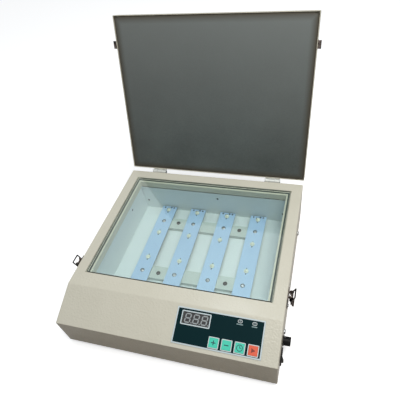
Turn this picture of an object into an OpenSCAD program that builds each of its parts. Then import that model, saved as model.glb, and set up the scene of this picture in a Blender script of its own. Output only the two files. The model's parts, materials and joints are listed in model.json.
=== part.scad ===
// Tabletop screen printing exposure unit: a folded steel cabinet with a glass
// bed over LED light boards, a sloping control panel and a foam-faced lid that
// is clamped by a draw latch on each side. Drawn with the lid open.
// Millimetres, +Z up, origin at the centre of the overall box, on the surface
// that the feet stand on. +X is the operator's right, +Y runs to the back.

/* [Cabinet] */
// Width of the cabinet
cab_w = 330; // [320:1:360]
// Depth of the flat top, from the fold to the back
bed_d = 264.5; // [260:0.5:300]
// Height of the flat top above the cabinet's lower edge
cab_h = 77.4; // [74:0.1:90]
// Height of the front face
front_h = 55; // [52:0.5:60]
// Horizontal run of the sloping panel
slope_run = 56.2; // [54:0.1:70]
// Thickness of the folded cabinet sheet
shell_t = 1.2; // [0.8:0.1:1.6]
// Thickness of the base plate
base_t = 1.2; // [0.8:0.1:2]
// Clearance between sheets that slide into each other
sheet_gap = 0.2; // [0.1:0.05:0.5]

/* [Feet] */
// Height of a foot below the base plate
foot_h = 8; // [4:0.5:14]
// Radius of a foot where it meets the base
foot_r = 11; // [8:0.5:14]
// Distance of the foot centres from the cabinet's side walls
foot_in_x = 17; // [14:0.5:18]
// Distance of the foot centres from the front and back faces
foot_in_y = 24; // [16:0.5:30]
// Radius of a foot's stem
foot_stem_r = 2.9; // [2:0.1:4]

/* [Glass bed] */
// Cabinet top left on each side of the glass opening
margin_side = 17.9; // [16:0.1:24]
// Cabinet top left behind the glass opening
margin_back = 18.3; // [16:0.1:24]
// Cabinet top left between the fold and the glass opening
margin_front = 23.8; // [20:0.1:30]
// Thickness of the glass
glass_t = 5; // [3:0.5:8]
// Gap between the glass and the edge of its opening
glass_gap = 1.5; // [0.5:0.1:3]
// Thickness of the foam tape under the glass
seal_t = 0.8; // [0.4:0.1:1.5]
// Width of the foam tape
seal_w = 2.4; // [1.5:0.1:4]
// Thickness of the support frame's sheet
frame_t = 1; // [0.8:0.1:1.5]
// Width of the ledge at the sides
ledge_side = 8; // [6:0.1:10]
// Width of the ledge at the back
ledge_back = 8.5; // [6:0.1:10]
// Width of the ledge at the front
ledge_front = 4; // [3.5:0.1:6]
// Height of the skirt that hangs from the ledge's inner edge
skirt_h = 12; // [8:0.5:15]
// Width of the flange that carries the frame under the cabinet top
frame_flange = 9; // [5:0.5:12]

/* [Light box] */
// Inner width of the reflector tray
tray_w = 282; // [276:0.5:300]
// Inner depth of the reflector tray
tray_d = 209.5; // [205:0.5:260]
// Height of the tray's walls above the base plate
tray_h = 56.3; // [50:0.1:60]
// Thickness of the tray's sheet
tray_t = 1; // [0.8:0.1:1.5]
// Depth of the open slits at the tray's corners
slit_d = 23; // [10:1:30]
// Width of those slits
slit_w = 1.6; // [1:0.1:3]
// Number of LED boards
board_n = 4; // [4:1:4]
// Spacing of the LED boards
board_pitch = 59.7; // [50:0.1:64]
// Width of an LED board
board_w = 30; // [24:0.5:36]
// Length of an LED board
board_l = 194; // [170:0.5:200]
// Thickness of an LED board
board_t = 1.6; // [1:0.1:2.4]
// Gap between the boards' rear ends and the tray's rear wall
board_gap = 1.8; // [0.8:0.1:8]
// Spacing of the LEDs along a board
led_pitch = 58; // [40:0.5:60]
// Radius of an LED's round base
led_base_r = 4; // [3:0.1:5]
// Height of an LED's base
led_base_h = 1.6; // [1:0.1:2.5]
// Radius of an LED's dome
led_dome_r = 2.9; // [2:0.1:3]
// Height of the rails' top face above the tray floor
rail_h = 7; // [6:0.1:20]
// Width of a rail
rail_w = 25; // [18:0.5:30]
// Thickness of a rail's sheet
rail_t = 1.2; // [0.8:0.1:2]
// Length of a rail
rail_l = 200; // [196:1:270]
// Distance from a rail's outer edge to its screw line
rail_edge = 11; // [6:0.5:12]
// Radius of a rail screw's shank
rail_screw_r = 2; // [1.5:0.1:2.5]
// Radius of a rail standoff
standoff_r = 4; // [3.5:0.1:5]
// Radius of a board screw's shank
board_screw_r = 1.5; // [1:0.1:2]

/* [Control panel] */
// Left edge of the panel overlay, from the cabinet's centre
panel_x = 17.6; // [10:0.1:24]
// Width of the panel overlay
panel_w = 124.4; // [120:0.1:130]
// Lower edge of the overlay, up the slope from its lower edge
panel_s = 6; // [3:0.1:8]
// Height of the overlay, along the slope
panel_hgt = 50; // [48:0.1:52]
// Thickness of the overlay
panel_t = 0.8; // [0.3:0.1:1.2]
// Size of a key, along x
key_w = 12.4; // [8:0.1:14]
// Size of a key, along the slope
key_l = 12.6; // [8:0.1:14]
// Spacing of the keys
key_pitch = 18; // [17:0.1:19]
// Centre of the first key, from the overlay's left edge
key_x = 58.9; // [56:0.1:60]
// Centre line of the keys, from the overlay's lower edge
key_s = 10; // [9.5:0.1:12]
// How far a key stands proud of the overlay
key_proud = 0.5; // [0.2:0.1:1]
// How far a key travels
key_travel = 0.5; // [0.3:0.05:0.8]
// Clearance around a key
key_gap = 0.3; // [0.2:0.05:0.5]
// Width of the display window
window_w = 38.2; // [30:0.1:39]
// Height of the display window
window_l = 16.6; // [12:0.1:18]
// Centre of the window, from the overlay's left edge
window_x = 28.65; // [26:0.05:32]
// Centre of the window, from the overlay's lower edge
window_s = 36.05; // [35:0.05:37]
// Height of a display digit
digit_h = 13.4; // [10:0.1:14.2]
// Radius of an indicator lamp
lamp_r = 1.5; // [1:0.1:2.5]
// Centres of the two indicator lamps, from the overlay's left edge
lamp_x = 90.2; // [80:0.1:95]
// Spacing of the indicator lamps
lamp_pitch = 20; // [12:0.1:25]
// Height of the lamps above the overlay's lower edge
lamp_s = 43.9; // [40:0.1:46]
// Thickness of the control circuit board
pcb_t = 1.6; // [1:0.1:2.4]
// Depth of the circuit board's top face below the panel sheet's top face
pcb_depth = 9.4; // [9.2:0.1:11]

/* [Side fittings] */
// Height of the switch and fuse centres above the cabinet's lower edge
row_z = 17.5; // [16:0.5:24]
// Distance of the rocker switch's centre from the front face
rocker_y = 32.3; // [24:0.1:34]
// Length of the switch bezel
bezel_l = 21; // [18:0.1:22]
// Height of the switch bezel
bezel_w = 15; // [14:0.1:16]
// How far the bezel stands off the side wall
bezel_t = 2; // [1:0.1:3]
// Depth of the switch housing behind the wall
housing_d = 16; // [14:0.5:20]
// Tilt of the rocker to each side
rocker_tilt = 12; // [8:1:12]
// Distance of the fuse holder's centre from the front face
fuse_y = 56; // [55:0.1:57]
// Radius of the fuse holder's flange
fuse_flange_r = 7.5; // [7:0.1:9]
// Radius of the fuse holder's threaded body
fuse_body_r = 6; // [5.5:0.1:6.4]
// Length of the fuse holder's body behind the wall
fuse_body_l = 34; // [33:0.5:40]
// Radius of the fuse cap at its base
fuse_cap_r = 6.6; // [5.5:0.1:7]
// How far the fuse cap reaches beyond the side wall
fuse_out = 11.2; // [9:0.1:14]
// Distance of the front side screw from the front face
screw_y_front = 72; // [71:0.5:74]
// Distance of the rear side screw from the front face
screw_y_back = 262; // [200:0.5:270]
// Height of the side screws
screw_z = 13; // [10:0.5:16]
// Radius of a side screw's shank
side_screw_r = 2; // [1.5:0.1:2.5]

/* [Back fittings] */
// Distance of the mains inlet from the cabinet's centre
inlet_x = 110; // [60:1:115]
// Height of the mains inlet's centre
inlet_z = 30; // [20:0.5:34]
// Width of the inlet's flange
inlet_w = 50; // [48:0.5:54]
// Height of the inlet's flange
inlet_h = 24; // [22:0.5:26]
// Spacing of the inlet's two screws
inlet_screw_pitch = 40; // [38:0.1:42]

/* [Lid] */
// Length of the lid from its hinge edge to its front edge
lid_l = 266.2; // [260:0.1:300]
// Width of the lid
lid_w = 331.5; // [322:0.1:364]
// Depth of the lid's folded rim
lid_d = 20; // [18:0.5:30]
// Thickness of the lid's sheet
lid_t = 1; // [0.8:0.1:1.6]
// Gap between the closed lid's rim and the cabinet top
lid_gap = 0.4; // [0.3:0.1:1]
// How far the lid is drawn open
lid_open = 108.1; // [95:0.1:110]
// Clearance around the foam inside the lid
foam_gap = 0.4; // [0.3:0.1:1]
// Gap between the closed lid's foam and the glass
foam_lift = 0.3; // [0.3:0.05:0.6]
// Depth to which the foam's rounded edge falls back
foam_dip = 3.5; // [1:0.1:5]
// Width of the foam's rounded edge
foam_roll = 14; // [6:0.5:20]
// Depth of the full-size front layer of foam
foam_front = 8; // [6:0.5:9]
// How far the foam behind that layer is drawn in
foam_step = 5; // [4:0.5:8]

/* [Hinges] */
// Distance of the hinge pin behind the cabinet's back
pivot_back = 5.1; // [4.8:0.1:6]
// Distance of the hinge pin below the cabinet top
pivot_drop = 2.1; // [2:0.1:3]
// Gap between the closed lid's rear wall and the line of the cabinet's back
lid_back = 0.5; // [0.3:0.1:1]
// Distance of the hinges' centres from the cabinet's sides
hinge_in = 55; // [40:1:90]
// Width of a hinge
hinge_w = 26; // [24:0.5:40]
// Thickness of a hinge leaf
leaf_t = 1.6; // [1.2:0.1:1.8]
// Outer radius of a hinge knuckle
knuckle_r = 4; // [3.5:0.1:4]
// Radius of the hinge pin
pin_r = 2; // [1.5:0.1:2.4]
// Radial running clearance of the pins
pin_fit = 0.05; // [0.02:0.01:0.08]
// Height of the leaf on the cabinet
leaf_h = 24; // [20:0.5:30]
// Radius of a hinge screw's shank
hinge_screw_r = 1.75; // [1.2:0.05:2]

/* [Latches] */
// Distance of the latches' centres from the front face
latch_y = 99.5; // [90:0.5:120]
// Width of a latch's base plate
latch_w = 20; // [18:0.5:24]
// Height of the base plate's lower edge
latch_z = 50; // [46:0.5:52]
// Thickness of the latch sheet
latch_t = 1.2; // [1:0.05:1.2]
// Distance of the lever's pin from the side wall
lever_x = 5.2; // [5:0.1:5.6]
// Height of the lever's pin
lever_z = 73; // [72:0.1:74]
// Radius of the lever's pin
lever_pin_r = 1.2; // [0.8:0.05:1.4]
// Distance of the bail's pivot from the side wall
bail_x = 4.6; // [4.4:0.1:4.8]
// Height of the bail's pivot
bail_z = 67.2; // [66.8:0.1:67.6]
// Length of the bail from its pivot to its bar
bail_l = 12.85; // [12.5:0.05:13.5]
// Radius of the bail's wire
bail_r = 1; // [0.7:0.05:1.1]
// Overall length of the bail along the side of the cabinet
bail_w = 16.5; // [16:0.1:18]
// Angle at which the free bail leans away from the wall
bail_lean = 25.8; // [15:0.1:40]
// Length of the strike on the lid
strike_w = 12; // [8:0.5:12]
// How far the strike stands off the lid's side wall
strike_out = 5.4; // [4:0.1:6]
// Height of the strike's lip
strike_lip = 3.1; // [2:0.1:3.5]

/* [Hidden] */
$fn = 48;
fine = 32;
eps = 0.01;

// Cabinet
hx = cab_w / 2;
tray_room = 55;
cab_d = slope_run + max(bed_d, tray_d + tray_room);
slope_a = atan2(cab_h - front_h, slope_run);
slope_l = norm([slope_run, cab_h - front_h]);
in_x = hx - shell_t;

// Lid, in its closed place
pivot_y = cab_d + pivot_back;
pivot_z = cab_h - pivot_drop;
lid_hx = lid_w / 2;
lid_y1 = cab_d + lid_back;
lid_y0 = lid_y1 - lid_l;
lid_z0 = cab_h + lid_gap;
lid_z1 = lid_z0 + lid_d;

// A point of the closed lid, as [y, z], moved to where the open lid has it
function opened(y, z) = [
  pivot_y + (y - pivot_y) * cos(lid_open) + (z - pivot_z) * sin(lid_open),
  pivot_z - (y - pivot_y) * sin(lid_open) + (z - pivot_z) * cos(lid_open)
];
rear_y = opened(lid_y0, lid_z1)[0];
origin_y = rear_y / 2;

// Glass opening and its frame
open_x = hx - margin_side;
open_y0 = slope_run + margin_front;
open_y1 = cab_d - margin_back;
glass_x = open_x - glass_gap;
glass_y0 = open_y0 + glass_gap;
glass_y1 = open_y1 - glass_gap;
glass_z0 = cab_h - glass_t;
ledge_z = glass_z0 - seal_t;
frame_off = 0.4;
ledge_x = open_x - ledge_side;
ledge_y0 = open_y0 + ledge_front;
ledge_y1 = open_y1 - ledge_back;
seal_in = 1.2;
seal_in_front = 0.3;
seal_w_front = min(seal_w, ledge_y0 - glass_y0 - 2 * seal_in_front);

// Light box
tray_x = tray_w / 2;
tray_y1 = ledge_y1 + 0.1;
tray_y0 = tray_y1 - tray_d;
floor_z = base_t + tray_t;
rail_z = floor_z + rail_h;
board_z = rail_z + board_t;
board_y = tray_y1 - board_gap - board_l / 2;
fix_y = led_pitch;
hole_gap = 0.15;
thread_gap = 0.05;
rivet_r = 1.2;
rivet_head_r = 2;
rivet_head_t = 0.8;

// Feet
stem_gap = 0.2;
barb_r = foot_stem_r + 1;
barb_h = 2;

// Control panel
panel_gap = 0.1;
key_flange = 1.4;
key_flange_t = 0.8;
key_stem_r = 2;
switch_w = 6;
switch_h = 3.5;
switch_tip_r = 1.7;
switch_tip_h = 0.7;
module_w = window_w + 1.8;
module_l = window_l + 3;
lamp_gap = 0.15;
pcb_margin = 1;
pcb_hole_r = 1.55;
spacer_r = 3;
spacer_hole_r = 1.55;

// Side fittings
side_head_r = 4;
side_head_t = 2.2;
tab_w = 12;
tab_h = 20;
aperture_l = bezel_l - 2.8;
aperture_w = bezel_w - 3.8;
housing_l = bezel_l - 2;
housing_w = bezel_w - 2;
cutout_gap = 0.2;
rocker_l = aperture_l - 2.6;
rocker_w = aperture_w - 0.6;
rocker_pivot = 2;
rocker_rise = 1.6;
rocker_depth = 4.5;
trunnion_r = 1.25;
trunnion_l = 0.7;
tab_thin = 0.8;
carrier_r = 4.4;
fuse_bore_r = 4.7;
fuse_r = 2.6;
fuse_l = 20;

// Back fittings
inlet_body_w = 28;
inlet_body_h = 20;
inlet_depth = 12.5;
socket_w = 24.4;
socket_h = 16.6;
pin_pitch = 7;
pin_drop = 2;
inlet_screw_r = 1.6;

// LED driver
driver_w = 118;
driver_l = 46;
driver_h = 27;
driver_gap = 0.8;
driver_x = -(hx - foot_in_x) + barb_r + driver_gap + driver_w / 2;
driver_y = 42;
driver_z = base_t;
driver_tab = 9;
driver_tab_w = 16;
driver_tab_t = 1.2;
block_w = 9;
block_z0 = 8;
block_z1 = 18;
block_pitch = 7.5;

// Latches
strike_t = 1;
strike_leaf = 9;
strike_floor_t = 0.9;
latch_pivot_r = 3;
ear_y = 3.2;
ear_t = 1.2;
flange_y = 4.5;
flange_t = 1.2;
arm_y = bail_w / 2 - bail_r;
web_x0 = lever_x + 1.4;
web_x1 = web_x0 + 1;
handle_z = latch_z + 1.5;

// Places the working frame, whose y = 0 is the front face and whose z = 0 is
// the cabinet's lower edge, in the model's own frame
module stand() {
  translate([0, -origin_y, foot_h])
    children();
}

// Carries what belongs to the lid from its closed place to its open one
module on_lid() {
  stand()
    translate([0, pivot_y, pivot_z])
      rotate([-lid_open, 0, 0])
        translate([0, -pivot_y, -pivot_z])
          children();
}

// Local frame of the sloping panel: x as in the cabinet, y up the slope and
// z out of the sheet, with z = 0 on the sheet's top face
module on_slope() {
  stand()
    translate([0, 0, front_h])
      rotate([slope_a, 0, 0])
        children();
}

// Local frame of a side wall's fitting: z points out of the wall
module on_side(side, y, z) {
  stand()
    translate([side * hx, y, z])
      rotate([0, side * 90, 0])
        children();
}

// Both sides of the cabinet, the left one a mirror image of the right one
module both_sides() {
  children();
  mirror([1, 0, 0])
    children();
}

// A box given by its lowest and highest corners
module span(low, high) {
  translate(low)
    cube([high[0] - low[0], high[1] - low[1], high[2] - low[2]]);
}

// A rectangular ring between two plan rectangles, each [half width, y0, y1]
module band(outer, inner, z0, z1) {
  difference() {
    span([-outer[0], outer[1], z0], [outer[0], outer[2], z1]);
    span([-inner[0], inner[1], z0 - 1], [inner[0], inner[2], z1 + 1]);
  }
}

// A pan-head screw, its head's seat at z = 0 and its shank below
module pan_screw(head_r, head_t, shank_r, shank_l) {
  difference() {
    union() {
      translate([0, 0, -shank_l])
        cylinder(r = shank_r, h = shank_l + eps);
      cylinder(r = head_r, h = head_t * 0.55);
      translate([0, 0, head_t * 0.55 - eps])
        cylinder(r1 = head_r, r2 = head_r * 0.62, h = head_t * 0.45 + eps);
    }
    for (a = [0, 90])
      rotate([0, 0, a])
        translate([-head_r * 0.55, -head_r * 0.11, head_t * 0.4])
          cube([head_r * 1.1, head_r * 0.22, head_t]);
  }
}

// A tube through a list of points, with mitred corners
function unit(v) = v / norm(v);
function joint_dir(p, i) =
  i == 0 ? unit(p[1] - p[0]) :
  i == len(p) - 1 ? unit(p[i] - p[i - 1]) :
  unit(unit(p[i] - p[i - 1]) + unit(p[i + 1] - p[i]));
function first_ring(p, r, sides) =
  let (
    d = unit(p[1] - p[0]),
    u = unit(cross(d, abs(d[2]) > 0.9 ? [1, 0, 0] : [0, 0, 1])),
    w = cross(d, u)
  )
  [for (j = [0 : sides - 1]) p[0] + r * (u * cos(360 * j / sides) + w * sin(360 * j / sides))];
function next_ring(p, i, ring) =
  let (
    d = unit(p[i] - p[i - 1]),
    n = joint_dir(p, i)
  )
  [for (q = ring) q + d * (((p[i] - q) * n) / (d * n))];
module wire(p, r, sides = 8) {
  rings = [
    for (
      i = 0, ring = first_ring(p, r, sides);
      i < len(p);
      i = i + 1, ring = i < len(p) ? next_ring(p, i, ring) : ring
    )
      each ring
  ];
  last = (len(p) - 1) * sides;
  polyhedron(
    points = rings,
    faces = [
      [for (j = [0 : sides - 1]) j],
      for (i = [0 : len(p) - 2], j = [0 : sides - 1])
        each [
          [i * sides + j, (i + 1) * sides + j, i * sides + (j + 1) % sides],
          [i * sides + (j + 1) % sides, (i + 1) * sides + j, (i + 1) * sides + (j + 1) % sides]
        ],
      [for (j = [sides - 1 : -1 : 0]) last + j]
    ]
  );
}

// Side view of the cabinet's sheet, in [y, z], drawn in by t
module cabinet_outline(t, bottom) {
  tilt = t * tan(slope_a / 2);
  nose = t * tan((90 - slope_a) / 2);
  polygon([
    [t, bottom],
    [t, front_h - nose],
    [slope_run + tilt, cab_h - t],
    [cab_d - t, cab_h - t],
    [cab_d - t, bottom]
  ]);
}

module cabinet_block(t, half_w, bottom) {
  translate([-half_w, 0, 0])
    rotate([90, 0, 90])
      linear_extrude(2 * half_w)
        cabinet_outline(t, bottom);
}

hinge_xs = [-(hx - hinge_in), hx - hinge_in];
screw_dx = hinge_w / 2 - 6;
leaf_screw_z = pivot_z - leaf_h + 7.7;
lid_screw_z = lid_z0 + 12;

module cabinet_shell() {
  color("#cfcdbf")
    difference() {
      stand() {
        difference() {
          cabinet_block(0, hx, 0);
          cabinet_block(shell_t, in_x, -1);
          span([-open_x, open_y0, cab_h - 5], [open_x, open_y1, cab_h + 1]);
          for (x = hinge_xs, dx = [-screw_dx, screw_dx])
            translate([x + dx, cab_d + 1, leaf_screw_z])
              rotate([90, 0, 0])
                cylinder(r = hinge_screw_r + hole_gap, h = shell_t + 2);
          span([inlet_x - inlet_body_w / 2 - cutout_gap, cab_d - 5, inlet_z - inlet_body_h / 2 - cutout_gap],
               [inlet_x + inlet_body_w / 2 + cutout_gap, cab_d + 1, inlet_z + inlet_body_h / 2 + cutout_gap]);
          for (dx = [-inlet_screw_pitch / 2, inlet_screw_pitch / 2])
            translate([inlet_x + dx, cab_d + 1, inlet_z])
              rotate([90, 0, 0])
                cylinder(r = inlet_screw_r + hole_gap, h = shell_t + 2);
        }
      }
      on_slope() {
        for (i = [0 : 3])
          key_hole(i);
        span([panel_x + window_x - window_w / 2, panel_s + window_s - window_l / 2, -5],
             [panel_x + window_x + window_w / 2, panel_s + window_s + window_l / 2, 5]);
        lamp_holes();
      }
      for (side = [-1, 1], y = [screw_y_front, screw_y_back])
        on_side(side, y, screw_z)
          translate([0, 0, -5])
            cylinder(r = side_screw_r + hole_gap, h = 10);
      on_side(1, rocker_y, row_z)
        span([-housing_w / 2 - cutout_gap, -housing_l / 2 - cutout_gap, -5],
             [housing_w / 2 + cutout_gap, housing_l / 2 + cutout_gap, 5]);
      on_side(1, fuse_y, row_z)
        translate([0, 0, -5])
          cylinder(r = fuse_body_r + hole_gap, h = 10);
      for (side = [-1, 1], dy = latch_screw_dys)
        on_side(side, latch_y + dy, latch_screw_z)
          translate([0, 0, -5])
            cylinder(r = latch_screw_r + hole_gap, h = 10);
    }
}

foot_xs = [-(hx - foot_in_x), hx - foot_in_x];
foot_ys = [foot_in_y, cab_d - foot_in_y];

module base_plate() {
  color("#b9b7aa")
    stand()
      difference() {
        union() {
          span([-in_x + sheet_gap, shell_t + sheet_gap, 0],
               [in_x - sheet_gap, cab_d - shell_t - sheet_gap, base_t]);
          for (side = [-1, 1], y = [screw_y_front, screw_y_back])
            translate([side * (in_x - sheet_gap - base_t / 2), y, tab_h / 2])
              cube([base_t, tab_w, tab_h], center = true);
        }
        for (x = foot_xs, y = foot_ys)
          translate([x, y, -1])
            cylinder(r = foot_stem_r + stem_gap, h = base_t + 2);
        for (side = [-1, 1], y = [screw_y_front, screw_y_back])
          translate([side * (in_x - 5), y, screw_z])
            rotate([0, 90, 0])
              cylinder(r = side_screw_r + thread_gap, h = 10, center = true);
        for (dx = driver_hole_dxs)
          translate([driver_x + dx, driver_y, -1])
            cylinder(r = 1.5 + thread_gap, h = base_t + 2);
      }
}

module base_screws() {
  color("#8d8f90")
    for (side = [-1, 1], y = [screw_y_front, screw_y_back])
      on_side(side, y, screw_z)
        pan_screw(side_head_r, side_head_t, side_screw_r, 7);
}

module feet() {
  color("#2b2b2b")
    stand()
      for (x = foot_xs, y = foot_ys)
        translate([x, y, 0]) {
          translate([0, 0, -foot_h])
            cylinder(r1 = foot_r - 1.5, r2 = foot_r, h = foot_h);
          cylinder(r = foot_stem_r, h = base_t + eps);
          translate([0, 0, base_t])
            cylinder(r1 = barb_r, r2 = foot_stem_r * 0.7, h = barb_h);
        }
}

module glass_frame() {
  wall_x = open_x + frame_off;
  wall_y0 = open_y0 - frame_off;
  wall_y1 = open_y1 + frame_off;
  top = cab_h - shell_t;
  front_flange = min(frame_flange, margin_front - 4);
  color("#dde0da")
    stand() {
      band([wall_x + frame_flange, wall_y0 - front_flange, wall_y1 + frame_flange],
           [wall_x, wall_y0, wall_y1], top - frame_t, top);
      band([wall_x + frame_t, wall_y0 - frame_t, wall_y1 + frame_t],
           [wall_x, wall_y0, wall_y1], ledge_z - frame_t, top);
      band([wall_x + frame_t, wall_y0 - frame_t, wall_y1 + frame_t],
           [ledge_x, ledge_y0, ledge_y1], ledge_z - frame_t, ledge_z);
      band([ledge_x + frame_t, ledge_y0 - frame_t, ledge_y1 + frame_t],
           [ledge_x, ledge_y0, ledge_y1], ledge_z - skirt_h, ledge_z);
    }
}

module glass_seal() {
  color("#4b4f4e")
    stand()
      band([glass_x - seal_in, glass_y0 + seal_in_front, glass_y1 - seal_in],
           [glass_x - seal_in - seal_w, glass_y0 + seal_in_front + seal_w_front, glass_y1 - seal_in - seal_w],
           ledge_z, ledge_z + seal_t);
}

module glass_plate() {
  color("#bfe0dc", 0.35)
    stand()
      span([-glass_x, glass_y0, glass_z0], [glass_x, glass_y1, cab_h]);
}

tray_rivet_spots = [[-134, 22], [11.7, 44.8], [134, 22]];
tray_side_rivet = [241, 47];
tray_wire_r = 2;

module reflector_tray() {
  color("#dfe9ea")
    stand()
      difference() {
        span([-tray_x - tray_t, tray_y0 - tray_t, base_t],
             [tray_x + tray_t, tray_y1 + tray_t, base_t + tray_h]);
        span([-tray_x, tray_y0, floor_z], [tray_x, tray_y1, base_t + tray_h + 1]);
        for (side = [-1, 1], end = [0, 1])
          translate([side * (tray_x + tray_t / 2), end == 0 ? tray_y0 + slit_w / 2 : tray_y1 - slit_w / 2,
                     base_t + tray_h - slit_d / 2 + 1])
            cube([2 * tray_t, slit_w, slit_d + 2], center = true);
        for (spot = tray_rivet_spots)
          translate([spot[0], tray_y1 - 1, spot[1]])
            rotate([-90, 0, 0])
              cylinder(r = rivet_r + thread_gap, h = tray_t + 2);
        for (side = [-1, 1])
          translate([side * (tray_x - 1), tray_side_rivet[0], tray_side_rivet[1]])
            rotate([0, side * 90, 0])
              cylinder(r = rivet_r + thread_gap, h = tray_t + 2);
        for (i = [0 : board_n - 1])
          translate([board_x(i), tray_y1 - 1, feed_z])
            rotate([-90, 0, 0])
              cylinder(r = tray_wire_r, h = tray_t + 2);
      }
}

module rivet() {
  translate([0, 0, -1.4 * tray_t])
    cylinder(r = rivet_r, h = 1.4 * tray_t + eps);
  intersection() {
    translate([0, 0, rivet_head_t - 2.9])
      sphere(r = 2.9);
    cylinder(r = rivet_head_r, h = rivet_head_t);
  }
}

module tray_rivets() {
  color("#6f7674")
    stand() {
      for (spot = tray_rivet_spots)
        translate([spot[0], tray_y1, spot[1]])
          rotate([90, 0, 0])
            rivet();
      for (side = [-1, 1])
        translate([side * tray_x, tray_side_rivet[0], tray_side_rivet[1]])
          rotate([0, -side * 90, 0])
            rivet();
    }
}

// end is -1 for the front rail and 1 for the rear one
function fix_line(end) = board_y + end * fix_y;
function board_x(i) = (i - (board_n - 1) / 2) * board_pitch;
rail_screw_xs = [-board_pitch, board_pitch];

module rail(end) {
  line = fix_line(end);
  y0 = end < 0 ? line - rail_edge : line - (rail_w - rail_edge);
  color("#b6bdb4")
    stand()
      difference() {
        span([-rail_l / 2, y0, floor_z], [rail_l / 2, y0 + rail_w, rail_z]);
        span([-rail_l / 2 - 1, y0 + rail_t, floor_z - 1],
             [rail_l / 2 + 1, y0 + rail_w - rail_t, rail_z - rail_t]);
        for (x = rail_screw_xs)
          translate([x, line, floor_z])
            cylinder(r = rail_screw_r + hole_gap, h = rail_h + 1);
        for (i = [0 : board_n - 1])
          translate([board_x(i), line, floor_z])
            cylinder(r = board_screw_r + thread_gap, h = rail_h + 1);
      }
}

module rail_front() { rail(-1); }
module rail_rear() { rail(1); }

module rail_standoffs() {
  color("#c9b06a")
    stand()
      for (end = [-1, 1], x = rail_screw_xs)
        translate([x, fix_line(end), floor_z])
          difference() {
            cylinder(r = standoff_r, h = rail_h - rail_t, $fn = 6);
            translate([0, 0, 2])
              cylinder(r = rail_screw_r + thread_gap, h = rail_h);
          }
}

module rail_screws() {
  color("#3d4142")
    stand()
      for (end = [-1, 1], x = rail_screw_xs)
        translate([x, fix_line(end), rail_z])
          pan_screw(3.6, 2, rail_screw_r, rail_h - 3.5);
}

module led_board(i) {
  color("#a9c6e2")
    stand()
      translate([board_x(i), board_y, rail_z])
        difference() {
          union() {
            span([-board_w / 2, -board_l / 2, 0], [board_w / 2, board_l / 2, board_t]);
            for (dx = [-8, 8])
              translate([dx, board_l / 2 - 3, board_t - eps])
                cylinder(r = 1.3, h = 0.5);
          }
          for (end = [-1, 1])
            translate([0, end * fix_y, -1])
              cylinder(r = board_screw_r + hole_gap, h = board_t + 2);
        }
}

module led_board_1() { led_board(0); }
module led_board_2() { led_board(1); }
module led_board_3() { led_board(2); }
module led_board_4() { led_board(3); }

led_ys = [for (k = [0 : 3]) (k - 1.5) * led_pitch];

module led_emitters() {
  color("#f1f0d8")
    stand()
      for (i = [0 : board_n - 1], dy = led_ys)
        translate([board_x(i), board_y + dy, board_z]) {
          cylinder(r = led_base_r, h = led_base_h);
          translate([0, 0, led_base_h - eps])
            difference() {
              sphere(r = led_dome_r);
              translate([0, 0, -led_dome_r])
                cube(2 * led_dome_r, center = true);
            }
          for (end = [-1, 1])
            translate([-0.7, end > 0 ? 0 : -led_base_r - 2.6, 0])
              cube([1.4, led_base_r + 2.6, 0.4]);
        }
}

module board_screws() {
  color("#aeb4b8")
    stand()
      for (i = [0 : board_n - 1], end = [-1, 1])
        translate([board_x(i), fix_line(end), board_z])
          pan_screw(2.75, 1.6, board_screw_r, board_t + 5);
}

// Centre of key i on the slope, as [x, s]
function key_at(i) = [panel_x + key_x + i * key_pitch, panel_s + key_s];
lamp_xs = [panel_x + lamp_x, panel_x + lamp_x + lamp_pitch];
lamp_y = panel_s + lamp_s;

module key_hole(i) {
  at = key_at(i);
  translate([at[0], at[1], 0])
    cube([key_w + 2 * key_gap, key_l + 2 * key_gap, 10], center = true);
}

module lamp_holes() {
  for (x = lamp_xs)
    translate([x, lamp_y, -5])
      cylinder(r = lamp_r + lamp_gap, h = 10);
}

module control_overlay() {
  color("#17383c")
    on_slope()
      difference() {
        span([panel_x, panel_s, 0], [panel_x + panel_w, panel_s + panel_hgt, panel_t]);
        for (i = [0 : 3])
          key_hole(i);
        span([panel_x + window_x - window_w / 2, panel_s + window_s - window_l / 2, -1],
             [panel_x + window_x + window_w / 2, panel_s + window_s + window_l / 2, 5]);
        lamp_holes();
      }
}

module_x = panel_x + window_x;
module_y = panel_s + window_s;
module_top = -shell_t - panel_gap;

module display_module() {
  color("#3a3f42")
    on_slope()
      span([module_x - module_w / 2, module_y - module_l / 2, -pcb_depth],
           [module_x + module_w / 2, module_y + module_l / 2, module_top]);
}

// One bar of a digit, lying along y, with pointed ends
module bar(length, width) {
  linear_extrude(0.15)
    polygon([
      [0, -length / 2], [width / 2, -length / 2 + width / 2], [width / 2, length / 2 - width / 2],
      [0, length / 2], [-width / 2, length / 2 - width / 2], [-width / 2, -length / 2 + width / 2]
    ]);
}

module display_segments() {
  bar_w = digit_h * 0.12;
  half = digit_h / 2 - bar_w / 2;
  reach = digit_h * 0.27;
  slant = 0.12;
  gap = 0.5;
  color("#c4c8c8")
    on_slope()
      for (k = [-1, 0, 1])
        translate([module_x + k * module_w * 0.3, module_y, module_top]) {
          for (row = [-1, 0, 1])
            translate([row * half * slant, row * half, 0])
              rotate([0, 0, 90])
                bar(2 * reach - gap, bar_w);
          for (sx = [-1, 1], sy = [-1, 1])
            translate([sx * reach + sy * half / 2 * slant, sy * half / 2, 0])
              rotate([0, 0, -atan(slant)])
                bar(half - gap, bar_w);
          translate([reach + bar_w * 1.3, -half, 0])
            cylinder(r = bar_w / 2, h = 0.15, $fn = fine);
        }
}

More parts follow.
